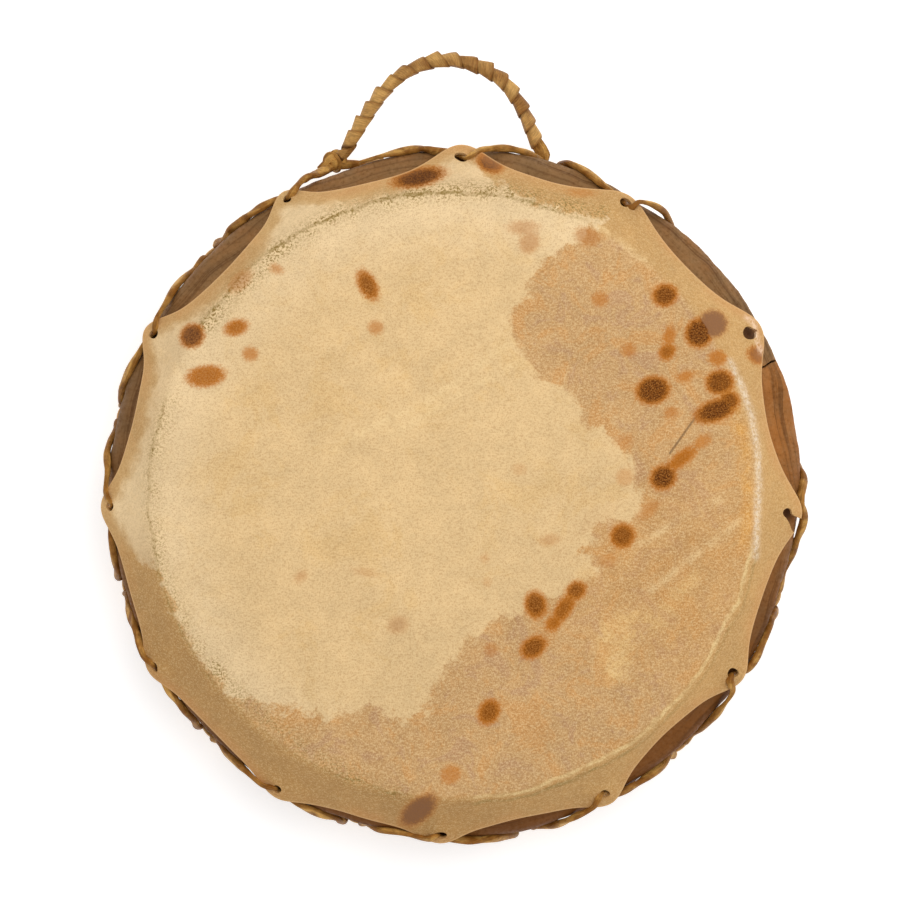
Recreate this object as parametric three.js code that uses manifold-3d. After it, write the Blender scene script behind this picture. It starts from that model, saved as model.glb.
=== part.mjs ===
// A shallow double-headed drum: a hollowed-log shell with bevelled rims, two rawhide heads laced together
// by one thong in a zigzag round the side, and a wrapped thong handle tied to the lacing.
// Millimetres, +Z up. The drum lies on its back head, the origin is on its axis at the underside of that
// head, and the handle points along +Y.

import * as THREE from 'three';
import { mergeVertices } from 'three/addons/utils/BufferGeometryUtils.js';
import Module from 'manifold-3d';

const wasm = await Module();
wasm.setup();

// ---- driving dimensions ----

const DEPTH = 80; // over both heads
const MIDDLE = DEPTH / 2; // height of the plane the drum mirrors about
const HIDE = 1.6; // thickness of a head
const GAP = 0.3; // clearance between separate pieces
const ROUND_SEGMENTS = 60;

const SHELL_R = 174.5; // widest point of the log
const BORE_R = 147; // inside of the hollowed log
const RIM_R = 150; // where the rim's flat turns into the bevel
const BEVEL_END_R = 167; // where the 45 degree bevel turns into the rounded shoulder
const SHOULDER_STEPS = 3;
const CRACK = { angle: 22.5, atR: 172.5, width: 1.8, depth: 15 }; // the drying crack in the shoulder

const TAB_LIFT_R = 160; // from here outward the hide stands off the bevel
const TAB_FALL = THREE.MathUtils.degToRad(32); // slope of a tab below the horizontal
const TAB_TIP_R = 176.5;
const HOLE_R = 3.1;
const HOLE_SIDES = 8;
const HOLE_AT_R = 168.7; // distance of a lace hole from the axis
const CUTTER_LENGTH = 12; // long enough to pass through a tab at a slant
const BACK_SCALLOP_R = 164;

// The front head's tabs, clockwise seen from above: the angle of each hole from +X, and the smallest
// radius of the scalloped edge between that tab and the next. The thong has slipped out of one of them.
const TABS = [
  { angle: 88.5, scallop: 164 },
  { angle: 59.5, scallop: 163 },
  { angle: 28.5, scallop: 161, slipped: true },
  { angle: -3, scallop: 163 },
  { angle: -32.5, scallop: 159 },
  { angle: -63, scallop: 165 },
  { angle: -92, scallop: 167.5 },
  { angle: -121, scallop: 168.5 },
  { angle: -150, scallop: 168.5 },
  { angle: -178, scallop: 163.5 },
  { angle: -208.5, scallop: 159.5 },
  { angle: -241, scallop: 161 },
];
const SCALLOP_STATIONS = [0, 0.05, 0.1, 0.16, 0.25, 0.38, 0.62, 0.75, 0.84, 0.9, 0.95]; // shares of a bay
const TAB_SHARE = 0.18; // how much of a bay the flank of a tab takes
const FLANK_DEPTH = 0.65; // how much of the scallop's depth the flanks make; the rest is one long curve

const THONG_R = 1.3;
const THONG_SIDES = 5;
const THONG_OUT_R = SHELL_R + GAP + THONG_R; // the thong's middle, where it lies on the shell's side
const THONG_ENDS_GAP = 2; // between the thong's two ends, measured along the side

// The thong's way through one tab: degrees past the hole, distance from the axis, and height over MIDDLE.
// It comes up the side, under the tab, out through the hole, over the tab's edge and down again.
const THROUGH_TAB = [
  [-4.6, THONG_OUT_R, 8.5],
  [-1.6, 174.2, 15.8],
  [-0.5, 171.6, 18.4],
  [-0.1, 169.3, 21],
  [0.1, 168.4, 24.2],
  [0.5, 170.2, 27],
  [1.1, 174.4, 24.6],
  [1.9, 178.4, 20],
  [3, 178.6, 14.4],
  [4.8, 176.9, 7.6],
];

const SLACK_SHARES = [0.33, 0.5, 0.67]; // where the thong runs past the tab it has slipped out of
const SLACK_Z = 30;

const CORE_R = 1.9;
const CORE_SIDES = 6;
const WRAP_IN_R = CORE_R + GAP;
const WRAP_OUT_R = [3.5, 4.5]; // each turn steps up from the first to the second
const WRAP_TURNS = 20;
const WRAP_SIDES = 7;
const HANDLE_SHARE = [0.085, 0.925]; // the stretch of the core that is wrapped
const CORE_STEPS = 26;

// The handle's middle line, from the left knot to the right foot.
const HANDLE_ROUTE = [
  [-60.2, 169.4, 32],
  [-55.5, 173.6, 33.5],
  [-50, 182, 35],
  [-42.4, 194, 36.5],
  [-34, 206, 37],
  [-21, 216.5, 37.5],
  [-2, 221.8, 37],
  [12, 219, 36],
  [26.5, 209, 34.5],
  [36, 195, 32.5],
  [42, 181, 29.5],
  [46.4, 172.6, 25.5],
].map(([x, y, z]) => new THREE.Vector3(x, y, z));

// ---- derived dimensions ----

// Along a 45 degree bevel the radius and the height over MIDDLE add up to one number: this is it for the
// shell's bevel, for the underside of the hide on it, and for the hide's outside.
const SHELL_BEVEL = RIM_R + DEPTH / 2 - HIDE - GAP;
const HIDE_BEVEL_IN = SHELL_BEVEL + GAP * Math.SQRT2;
const HIDE_BEVEL_OUT = HIDE_BEVEL_IN + HIDE * Math.SQRT2;

// ---- helpers ----

const { degToRad } = THREE.MathUtils;

const polar = (angle, r, z) =>
  new THREE.Vector3(r * Math.cos(degToRad(angle)), r * Math.sin(degToRad(angle)), z);

// A closed mesh with merged corners as a manifold solid.
function toSolid(geometry) {
  const bare = geometry.index ? geometry.toNonIndexed() : geometry.clone();
  bare.deleteAttribute('normal');
  bare.deleteAttribute('uv');
  const merged = mergeVertices(bare, 1e-4);
  const triangles = [];
  for (let i = 0; i < merged.index.count; i += 3) {
    const [a, b, c] = [0, 1, 2].map((k) => merged.index.getX(i + k));
    if (a !== b && b !== c && c !== a) triangles.push(a, b, c);
  }
  return new wasm.Manifold(
    new wasm.Mesh({
      numProp: 3,
      vertProperties: new Float32Array(merged.attributes.position.array),
      triVerts: new Uint32Array(triangles),
    }),
  );
}

function toGeometry(solid) {
  const { vertProperties, triVerts } = solid.getMesh();
  const geometry = new THREE.BufferGeometry();
  geometry.setAttribute('position', new THREE.BufferAttribute(vertProperties, 3));
  geometry.setIndex(new THREE.BufferAttribute(triVerts, 1));
  geometry.computeVertexNormals();
  return geometry;
}

// Turns a profile of [radius, height] pairs about +Z.
function turned(profile) {
  const points = profile.map(([r, z]) => new THREE.Vector2(r, z));
  return new THREE.LatheGeometry(points, ROUND_SEGMENTS).rotateX(Math.PI / 2);
}

// A curve that is cut exactly at its control points, so that tight bends keep their shape.
class RoutedCurve extends THREE.CatmullRomCurve3 {
  getSpacedPoints(steps) {
    return this.getPoints(steps);
  }

  getTangentAt(share, target) {
    return this.getTangent(share, target);
  }
}

function ringShape(radius, sides, holeRadius = 0) {
  const circle = (r) =>
    Array.from({ length: sides }, (_, i) => {
      const a = (i / sides) * 2 * Math.PI;
      return new THREE.Vector2(r * Math.cos(a), r * Math.sin(a));
    });
  const shape = new THREE.Shape(circle(radius));
  if (holeRadius) shape.holes.push(new THREE.Path(circle(holeRadius).reverse()));
  return shape;
}

const tube = (curve, shape, steps) => new THREE.ExtrudeGeometry(shape, { steps, extrudePath: curve });

// ---- shell ----

function shoulderArc() {
  const radius = (SHELL_R - BEVEL_END_R) / (1 - Math.SQRT1_2);
  const height = SHELL_BEVEL - BEVEL_END_R - radius * Math.SQRT1_2;
  return Array.from({ length: SHOULDER_STEPS + 1 }, (_, i) => {
    const a = ((i / SHOULDER_STEPS) * Math.PI) / 4;
    return [SHELL_R - radius * (1 - Math.cos(a)), height + radius * Math.sin(a)];
  });
}

function makeShell() {
  const rim = SHELL_BEVEL - RIM_R;
  const upperHalf = [...shoulderArc(), [RIM_R, rim], [BORE_R, rim]];
  const lowerHalf = upperHalf.map(([r, z]) => [r, -z]).reverse();
  const profile = [...lowerHalf, ...upperHalf, lowerHalf[0]].map(([r, z]) => [r, z + MIDDLE]);
  return toGeometry(toSolid(turned(profile)).subtract(toSolid(crackWedge())));
}

// A three-sided prism that stands upright in the upper half of the shell, its long side radial.
function crackWedge() {
  return new THREE.CylinderGeometry(0.5, 0.5, DEPTH / 2, 3)
    .scale(CRACK.depth, 1, CRACK.width)
    .rotateX(Math.PI / 2)
    .translate(CRACK.atR, 0, MIDDLE + DEPTH / 4)
    .rotateZ(degToRad(CRACK.angle));
}

// ---- heads ----

// Height over MIDDLE of the underside of a tab, at distance r from the axis.
const tabUnderside = (r) => HIDE_BEVEL_IN - TAB_LIFT_R - (r - TAB_LIFT_R) * Math.tan(TAB_FALL);

// How deep the scalloped edge has dipped at a share of the way from one tab to the next: 0 at a tab,
// 1 half-way. Each tab has two steep flanks.
function scallopDip(share) {
  const fromTab = Math.min(share, 1 - share) / TAB_SHARE;
  const flank = 1 - Math.exp(-(fromTab ** 2));
  return FLANK_DEPTH * flank + (1 - FLANK_DEPTH) * Math.sin(Math.PI * share) ** 2;
}

// The plan outline of a head: tabs at the given angles with concave scallops between them.
function scalloped(tabs) {
  const points = tabs.flatMap((tab, i) => {
    const next = tabs[(i + 1) % tabs.length].angle - (i + 1 === tabs.length ? 360 : 0);
    return SCALLOP_STATIONS.map((share) => {
      const r = TAB_TIP_R + (tab.scallop - TAB_TIP_R) * scallopDip(share);
      const p = polar(tab.angle + (next - tab.angle) * share, r, 0);
      return new THREE.Vector2(p.x, p.y);
    });
  });
  return new THREE.Shape(points);
}

function holeCutter(angle) {
  return new THREE.CylinderGeometry(HOLE_R, HOLE_R, CUTTER_LENGTH, HOLE_SIDES)
    .rotateX(Math.PI / 2)
    .rotateY(TAB_FALL)
    .translate(HOLE_AT_R, 0, tabUnderside(HOLE_AT_R))
    .rotateZ(degToRad(angle));
}

// A head with its face at the top: a flat disc that bends over the rim and ends in holed tabs.
function makeHead(tabs) {
  const top = DEPTH / 2;
  const reach = TAB_TIP_R + HIDE; // a little past the outline that trims it
  const liftOut = TAB_LIFT_R + (2 / 3) * HIDE;
  const crease = HIDE_BEVEL_OUT - top;
  const profile = [
    [0, top - HIDE],
    [HIDE_BEVEL_IN - (top - HIDE), top - HIDE],
    [TAB_LIFT_R, tabUnderside(TAB_LIFT_R)],
    [reach, tabUnderside(reach)],
    [reach, tabUnderside(reach) + HIDE / Math.cos(TAB_FALL)],
    [liftOut, HIDE_BEVEL_OUT - liftOut],
    [crease + HIDE / 2, top - HIDE / 2],
    [crease - HIDE / 2, top],
    [0, top],
  ];
  const plan = new THREE.ExtrudeGeometry(scalloped(tabs), { depth: DEPTH, bevelEnabled: false });
  const holes = tabs.map((tab) => toSolid(holeCutter(tab.angle)));
  const trimmed = toSolid(turned(profile)).intersect(toSolid(plan));
  return toGeometry(holes.reduce((head, hole) => head.subtract(hole), trimmed));
}

// The back head's tabs stand half-way between the front head's.
function backTabs() {
  return TABS.map((tab, i) => {
    const next = TABS[(i + 1) % TABS.length].angle - (i + 1 === TABS.length ? 360 : 0);
    return { angle: (tab.angle + next) / 2, scallop: BACK_SCALLOP_R };
  });
}

// ---- lacing ----

// Every tab that holds the thong, in the order it reaches them: clockwise, front and back in turn.
function lacedTabs() {
  const back = backTabs();
  return TABS.flatMap((tab, i) => [
    ...(tab.slipped ? [] : [{ angle: tab.angle, side: 1 }]),
    { angle: back[i].angle, side: -1 },
  ]);
}

// The points of the thong between two tabs. It crosses the side half-way up, or, where it has slipped out
// of the tab between, it runs round the side low down.
function crossing(from, to) {
  const along = (share) => from.angle + (to.angle - from.angle) * share;
  if (from.side !== to.side) return [polar(along(0.5), THONG_OUT_R, MIDDLE)];
  return SLACK_SHARES.map((share) => polar(along(share), THONG_OUT_R, SLACK_Z));
}

// The thong starts and ends half-way up the side, between the last tab it reaches and the first.
function makeLacing() {
  const stops = lacedTabs();
  const endsGap = THREE.MathUtils.radToDeg(THONG_ENDS_GAP / THONG_OUT_R);
  const start = (stops[0].angle + stops.at(-1).angle + 360) / 2 - endsGap;
  const route = [polar(start, THONG_OUT_R, MIDDLE)];
  stops.forEach(({ angle, side }, i) => {
    THROUGH_TAB.forEach(([past, r, height]) => route.push(polar(angle - past, r, MIDDLE + side * height)));
    const next = stops[i + 1] ?? { ...stops[0], angle: stops[0].angle - 360 };
    route.push(...crossing({ angle, side }, next));
  });
  const curve = new RoutedCurve(route);
  return toGeometry(toSolid(tube(curve, ringShape(THONG_R, THONG_SIDES), route.length - 1)));
}

// ---- handle ----

const handleCurve = new THREE.CatmullRomCurve3(HANDLE_ROUTE);

// The part of the handle's middle line that the strip covers.
class WrappedStretch extends THREE.Curve {
  getPoint(share, target) {
    const [from, to] = HANDLE_SHARE;
    return handleCurve.getPointAt(from + (to - from) * share, target);
  }
}

// A sleeve along the stretch, whose outside steps from the low to the high edge of each turn.
function makeWrap() {
  const stretch = new WrappedStretch();
  const steps = WRAP_TURNS * 2;
  const [low, high] = WRAP_OUT_R;
  const geometry = tube(stretch, ringShape(low, WRAP_SIDES, WRAP_IN_R), steps);
  const middles = stretch.getSpacedPoints(steps);
  const { position } = geometry.attributes;
  const point = new THREE.Vector3();
  for (let i = 0; i < position.count; i++) {
    point.fromBufferAttribute(position, i);
    const distances = middles.map((middle) => middle.distanceTo(point));
    const distance = Math.min(...distances);
    const station = distances.indexOf(distance);
    if (station % 2 === 0 || distance < (WRAP_IN_R + low) / 2) continue;
    const { x, y, z } = point.sub(middles[station]).setLength(high).add(middles[station]);
    position.setXYZ(i, x, y, z);
  }
  return toGeometry(toSolid(geometry));
}

const makeCore = () => toGeometry(toSolid(tube(handleCurve, ringShape(CORE_R, CORE_SIDES), CORE_STEPS)));

// ---- the drum ----

const finish = (color, roughness) => new THREE.MeshStandardMaterial({ color, roughness, metalness: 0 });

const drum = new THREE.Group();

function add(name, geometry, material) {
  const mesh = new THREE.Mesh(geometry, material);
  mesh.name = name;
  drum.add(mesh);
  return mesh;
}

// The back head is a front head turned over about +X, which takes each tab's angle to its negative.
const turnedOver = (tabs) => tabs.map(({ angle, scallop }) => ({ angle: -angle, scallop })).reverse();

add('log_shell', makeShell(), finish(0x6b5140, 0.6));
add('front_head', makeHead(TABS), finish(0xd9bf90, 0.55)).position.z = MIDDLE;
const backHead = add('back_head', makeHead(turnedOver(backTabs())), finish(0xd0b080, 0.55));
backHead.position.z = MIDDLE;
backHead.rotation.x = Math.PI;
add('lacing', makeLacing(), finish(0xa98048, 0.5));
add('handle_core', makeCore(), finish(0xa98048, 0.5));
add('handle_wrap', makeWrap(), finish(0xb98a50, 0.5));

export default drum;
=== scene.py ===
"""A laced hide drum: a hollowed log between two rawhide heads, one long thong and a bound carrying handle.

Geometry is worked out in millimetres and turned into metres when a mesh is made. Angles are in degrees,
anticlockwise from +X seen from above. Heights are over the plane half-way between the two heads.
"""

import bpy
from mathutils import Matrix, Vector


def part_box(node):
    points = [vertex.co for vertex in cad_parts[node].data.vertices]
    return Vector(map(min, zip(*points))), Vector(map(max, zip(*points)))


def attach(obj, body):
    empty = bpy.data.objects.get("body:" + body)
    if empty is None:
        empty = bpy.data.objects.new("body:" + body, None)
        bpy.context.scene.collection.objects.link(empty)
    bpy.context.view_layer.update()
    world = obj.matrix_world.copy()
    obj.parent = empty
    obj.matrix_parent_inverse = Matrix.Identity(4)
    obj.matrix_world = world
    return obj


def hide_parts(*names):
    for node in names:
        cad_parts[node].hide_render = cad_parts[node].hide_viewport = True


bl_info = {
    "name": "Laced Hide Drum",
    "version": (1, 0, 0),
    "blender": (4, 5, 0),
    "location": "3D View > Sidebar > Drum",
    "description": "Builds a double-headed rawhide drum around its fixed frame",
    "category": "Add Mesh",
}

from collections import namedtuple

import bpy
import numpy as np
from bpy.props import FloatProperty, FloatVectorProperty, IntProperty, PointerProperty

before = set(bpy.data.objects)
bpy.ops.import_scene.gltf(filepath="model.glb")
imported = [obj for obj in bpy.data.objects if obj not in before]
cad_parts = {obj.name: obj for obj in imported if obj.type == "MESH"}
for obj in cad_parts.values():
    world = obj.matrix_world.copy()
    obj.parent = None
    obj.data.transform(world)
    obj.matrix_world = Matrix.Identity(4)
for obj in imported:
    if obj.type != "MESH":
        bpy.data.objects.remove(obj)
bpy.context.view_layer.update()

MM = 0.001
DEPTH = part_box("front_head")[1].z / MM
MIDDLE = DEPTH / 2
SHELL_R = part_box("log_shell")[1].x / MM
BODY = "root"


# ---- the form of the drum ----

HIDE_GAP = 0.3  # between the hide and the wood
HEAD_THICKNESS = 1.6
RIM_R = 150.0  # where the log's flat rim turns into the bevel
RIM_DROP = HIDE_GAP + HEAD_THICKNESS  # from the head's face down to the log's rim
BORE_R = 147.0
BEVEL = RIM_R + MIDDLE - RIM_DROP  # on a 45 degree bevel, radius and height add up to one number
BEVEL_END_R = 167.0
SHOULDER_R = (SHELL_R - BEVEL_END_R) / (1 - np.sqrt(0.5))
SHOULDER_AT = (SHELL_R - SHOULDER_R, BEVEL - BEVEL_END_R - SHOULDER_R * np.sqrt(0.5))

Tab = namedtuple("Tab", "angle tip hole_at hole scallop flank")

# The front head's tabs, clockwise from the handle: the angle of each, how far out its tip reaches, where
# its hole is, the hole's half sizes round and across the rim, the lowest radius of the next scallop, and
# how much of a bay the tab's flank takes.
FRONT_TABS = (
    Tab(88.5, 175.2, 168.7, (3.3, 2.9), 163.8, 0.18),
    Tab(59.4, 173.8, 169.6, (3.0, 2.7), 162.9, 0.18),
    Tab(28.6, 175.8, 168.7, (3.6, 3.7), 160.6, 0.18),
    Tab(-3.1, 174.8, 167.3, (2.6, 2.8), 162.6, 0.17),
    Tab(-32.4, 171.4, 165.4, (2.8, 3.0), 158.8, 0.15),
    Tab(-63.0, 173.4, 167.2, (2.5, 2.4), 164.6, 0.15),
    Tab(-92.0, 174.0, 169.9, (3.1, 2.1), 167.3, 0.15),
    Tab(-120.8, 175.4, 171.0, (2.4, 2.1), 168.3, 0.15),
    Tab(-150.0, 175.6, 171.9, (2.4, 1.9), 168.3, 0.14),
    Tab(-178.1, 175.8, 171.2, (2.4, 2.2), 163.4, 0.15),
    Tab(-208.3, 174.6, 169.4, (2.6, 2.3), 159.0, 0.13),
    Tab(-240.8, 173.6, 169.2, (2.3, 2.0), 160.9, 0.12),
)
SLIPPED = 2  # the tab that the thong has slipped out of
TORN = 3  # the tab whose hole has torn through to its edge

FLANK_DEPTH = 0.65  # how much of a scallop its flanks make; the rest is one long curve
TAB_LIFT_R = 160.0  # where the tabs begin to stand off the bevel
TAB_LIFT_SOFTNESS = 1.5
TAB_SPREAD = 4.6  # degrees over which a tab stands off the bevel
TAB_RISE = 0.375  # how much less than the bevel a tab falls


def next_angle(tabs, index):
    """The angle of the next tab clockwise, carried on past a full turn."""
    turn = 360 if index + 1 == len(tabs) else 0
    return tabs[(index + 1) % len(tabs)].angle - turn


def back_tabs():
    """The back head's tabs stand half-way between the front head's."""
    middles = [(tab.angle + next_angle(FRONT_TABS, i)) / 2 for i, tab in enumerate(FRONT_TABS)]
    return tuple(Tab(angle, 176.5, 168.7, (2.6, 2.1), 164.0, 0.16) for angle in middles)


BACK_TABS = back_tabs()


# ---- small mathematics ----

def polar(angle, radius, height):
    """A point from its angle, its distance from the axis and its height over the middle plane."""
    turn = np.radians(angle)
    return np.stack(np.broadcast_arrays(radius * np.cos(turn), radius * np.sin(turn), height + MIDDLE), -1)


def smoothstep(low, high, value):
    share = np.clip((value - low) / (high - low), 0, 1)
    return share * share * (3 - 2 * share)


def bell(value, width):
    """1 at zero, falling smoothly to nothing over about twice the width."""
    return np.exp(-(value / width) ** 2)


def soft_ramp(value, softness):
    """0 below zero and the value itself above it, with a soft bend between."""
    return softness * np.logaddexp(0, value / softness)


def unit(vectors):
    return vectors / np.linalg.norm(vectors, axis=-1, keepdims=True)


def outward(points):
    """Level directions away from the drum's axis."""
    return unit(points * (1, 1, 0))


def angles_of(points):
    """The angle of each point round the axis."""
    return np.degrees(np.arctan2(points[:, 1], points[:, 0]))


def radii_of(points):
    """The distance of each point from the axis."""
    return np.hypot(points[:, 0], points[:, 1])


def read_off(at, along, values):
    """Values of three numbers each along a path, read off at the given distances."""
    return np.stack([np.interp(at, along, values[:, axis]) for axis in range(3)], 1)


def ripple(points, wavelength, seed, waves=9):
    """A smooth, seamless unevenness of about -1 to 1 over any points: a sum of plane waves."""
    rng = np.random.default_rng(seed)
    total = 0
    for _ in range(waves):
        across = rng.normal(size=points.shape[-1])
        across *= 2 * np.pi / (wavelength * rng.uniform(0.7, 1.5) * np.linalg.norm(across))
        total = total + np.sin(points @ across + rng.uniform(0, 2 * np.pi))
    return total / np.sqrt(waves)


def angle_between(angles, centre):
    """How far angles lie anticlockwise of a centre, from -180 to 180."""
    return (np.asarray(angles) - centre + 180) % 360 - 180


def round_the_rim(angles, stations):
    """A smooth value round the rim from (angle, value) stations."""
    at = np.array([station[0] % 360 for station in stations], float)
    value = np.array([station[1] for station in stations], float)
    order = np.argsort(at)
    knots = np.concatenate([at[order][-1:] - 360, at[order], at[order][:1] + 360])
    values = np.concatenate([value[order][-1:], value[order], value[order][:1]])
    angles = np.asarray(angles) % 360
    index = np.clip(np.searchsorted(knots, angles, side="right") - 1, 0, len(knots) - 2)
    share = smoothstep(0, 1, (angles - knots[index]) / (knots[index + 1] - knots[index]))
    return values[index] + (values[index + 1] - values[index]) * share


def distance_to_line(xy, line):
    """The distance from each point to an open line of points."""
    nearest = np.full(len(xy), np.inf)
    for start, end in zip(line[:-1], line[1:]):
        run = np.subtract(end, start).astype(float)
        share = np.clip((xy - start) @ run / (run @ run), 0, 1)
        nearest = np.minimum(nearest, np.linalg.norm(xy - start - share[:, None] * run, axis=1))
    return nearest


def distance_inside(xy, outline):
    """The distance from each point to a closed outline, negative outside it."""
    closed = [*outline, outline[0]]
    inside = np.zeros(len(xy), bool)
    for (x0, y0), (x1, y1) in zip(closed[:-1], closed[1:]):
        spans = (y0 > xy[:, 1]) != (y1 > xy[:, 1])
        rise = y1 - y0 if y1 != y0 else 1e-9
        inside ^= spans & (xy[:, 0] < (x1 - x0) * (xy[:, 1] - y0) / rise + x0)
    distance = distance_to_line(xy, closed)
    return np.where(inside, distance, -distance)


def smooth_path(points, spacing):
    """Evenly spaced points on a centripetal curve through the given ones, and their distance along it."""
    points = np.asarray(points, float)
    ends = (2 * points[0] - points[1], 2 * points[-1] - points[-2])
    padded = np.vstack([ends[0], points, ends[1]])
    knots = np.concatenate([[0], np.cumsum(np.sqrt(np.linalg.norm(np.diff(padded, axis=0), axis=1)))])
    spans = []
    for i in range(1, len(padded) - 2):
        t = np.linspace(knots[i], knots[i + 1], 24, endpoint=False)[:, None]
        k = knots[i - 1:i + 3]
        p = padded[i - 1:i + 3]
        for level in (1, 2, 3):
            p = [
                ((k[j + level] - t) * p[j] + (t - k[j]) * p[j + 1]) / (k[j + level] - k[j])
                for j in range(4 - level)
            ]
        spans.append(p[0])
    dense = np.vstack([*spans, points[-1:]])
    lengths = np.concatenate([[0], np.cumsum(np.linalg.norm(np.diff(dense, axis=0), axis=1))])
    along = np.linspace(0, lengths[-1], int(lengths[-1] / spacing) + 2)
    return read_off(along, lengths, dense), along


def carried_frames(path, first_out):
    """Tangents and outward directions along a path, carried from point to point without twisting."""
    tangents = unit(np.gradient(path, axis=0))
    outs = [unit(first_out - tangents[0] * (first_out @ tangents[0]))]
    for tangent in tangents[1:]:
        out = outs[-1] - tangent * (outs[-1] @ tangent)
        outs.append(unit(out))
    return tangents, np.array(outs)


def settled_frames(path, along, hints):
    """Frames of a flat strip: it lies flat where the hints are clear, and twists evenly in between."""
    tangents, outs = carried_frames(path, hints[0])
    sides = np.cross(tangents, outs)
    clear = np.abs(np.sum(tangents * hints, axis=1)) < 0.35
    twist = np.arctan2(np.sum(hints * sides, axis=1), np.sum(hints * outs, axis=1))[clear]
    twist = np.interp(along, along[clear], np.unwrap(twist, period=np.pi))[:, None]
    return tangents, outs * np.cos(twist) + sides * np.sin(twist)


# ---- meshes ----

def join_rings(rings, loop=False):
    """The faces between rings of points. Each ring has as many points as the last, or double, or half."""
    starts = np.concatenate([[0], np.cumsum([len(ring) for ring in rings])])[:-1]
    pairs = list(zip(range(len(rings) - 1), range(1, len(rings))))
    if loop:
        pairs.append((len(rings) - 1, 0))
    faces = []
    for first, second in pairs:
        a, b = starts[first], starts[second]
        na, nb = len(rings[first]), len(rings[second])
        i = np.arange(min(na, nb))
        if na == nb:
            faces += np.stack([a + i, b + i, b + (i + 1) % nb, a + (i + 1) % na], 1).tolist()
        elif na == 1:
            faces += [[a, b + j, b + (j + 1) % nb] for j in range(nb)]
        elif nb == 1:
            faces += [[a + j, b, a + (j + 1) % na] for j in range(na)]
        elif nb == 2 * na:
            faces += np.stack([a + i, b + 2 * i, b + 2 * i + 1], 1).tolist()
            faces += np.stack([a + i, b + 2 * i + 1, b + (2 * i + 2) % nb, a + (i + 1) % na], 1).tolist()
        else:
            faces += np.stack([a + 2 * i, b + i, a + 2 * i + 1], 1).tolist()
            faces += np.stack([a + 2 * i + 1, b + i, b + (i + 1) % nb, a + (2 * i + 2) % na], 1).tolist()
    return faces


def make_object(name, points, faces, flip=False):
    """A mesh object from points in millimetres."""
    mesh = bpy.data.meshes.new(name)
    if flip:
        faces = [face[::-1] for face in faces]
    mesh.from_pydata((np.asarray(points) * MM).tolist(), [], faces)
    mesh.validate()
    piece = bpy.data.objects.new(name, mesh)
    bpy.context.scene.collection.objects.link(piece)
    return piece


def points_of(piece):
    """A piece's mesh points, in millimetres."""
    points = np.empty(len(piece.data.vertices) * 3, np.float32)
    piece.data.vertices.foreach_get("co", points)
    return points.reshape(-1, 3).astype(float) / MM


def paint_values(piece, values):
    """Stores named values on a piece's points, for its material to read."""
    for name, value in values.items():
        layer = piece.data.attributes.new(name, "FLOAT", "POINT")
        layer.data.foreach_set("value", np.asarray(value, np.float32))


def cut_away(piece, cutters):
    """Cuts closed shapes, each a pair of points and faces, out of a piece."""
    points = []
    faces = []
    for cutter_points, cutter_faces in cutters:
        faces += [[corner + len(points) for corner in face] for face in cutter_faces]
        points += list(cutter_points)
    tool = make_object(piece.name + "_cutter", points, faces)
    cut = piece.modifiers.new("cut", "BOOLEAN")
    cut.operation = "DIFFERENCE"
    cut.solver = "MANIFOLD"
    cut.object = tool
    depsgraph = bpy.context.evaluated_depsgraph_get()
    result = bpy.data.meshes.new_from_object(piece.evaluated_get(depsgraph))
    piece.modifiers.clear()
    old = piece.data
    piece.data = result
    bpy.data.meshes.remove(old)
    bpy.data.objects.remove(tool)
    result.name = piece.name


def prism(outline_low, outline_high):
    """A closed solid between two outlines of equally many points, anticlockwise seen from the high end."""
    count = len(outline_low)
    i = np.arange(count)
    sides = np.stack([i, (i + 1) % count, count + (i + 1) % count, count + i], 1).tolist()
    caps = [list(range(count))[::-1], list(range(count, 2 * count))]
    return np.vstack([outline_low, outline_high]), sides + caps


def finish_piece(piece, material, node, sharp=40):
    """Gives a piece its material and its place in the frame."""
    piece.data.materials.clear()
    piece.data.materials.append(material)
    piece.data.shade_smooth()
    piece.data.set_sharp_from_angle(angle=np.radians(sharp))
    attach(piece, BODY)
    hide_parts(node)


def strip_section(count, squareness=0.55):
    """A flat strip's section: pairs of side and out, each from -1 to 1, anticlockwise."""
    turn = np.linspace(0, 2 * np.pi, count, endpoint=False)
    side = np.sign(np.cos(turn)) * np.abs(np.cos(turn)) ** squareness
    out = np.sign(np.sin(turn)) * np.abs(np.sin(turn)) ** squareness
    return side, out


def sweep(path, tangents, outs, widths, thicknesses, count=14, squareness=0.55):
    """Rings of a strip along a path, closed at both ends, with each point's place across the strip."""
    side, out = strip_section(count, squareness)
    sides = np.cross(tangents, outs)
    rings = [
        path[i] + sides[i] * side[:, None] * widths[i] / 2 + outs[i] * out[:, None] * thicknesses[i] / 2
        for i in range(len(path))
    ]
    rings = [path[:1], *rings, path[-1:]]
    across = np.concatenate([[0], np.tile(side, len(path)), [0]])
    return rings, across


def for_each_point(values, count):
    """Values of a strip's rings, given to every point of each ring and to the point that closes each end."""
    return np.concatenate([[values[0]], np.repeat(values, count), [values[-1]]])


# ---- shader trees ----

def paint(red, green, blue):
    """A colour as the shaders read it, from display values of 0 to 255."""
    display = np.array([red, green, blue]) / 255
    linear = np.where(display <= 0.04045, display / 12.92, ((display + 0.055) / 1.055) ** 2.4)
    return tuple(float(value) for value in linear)


def opaque(color):
    return (*color, 1.0)


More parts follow.
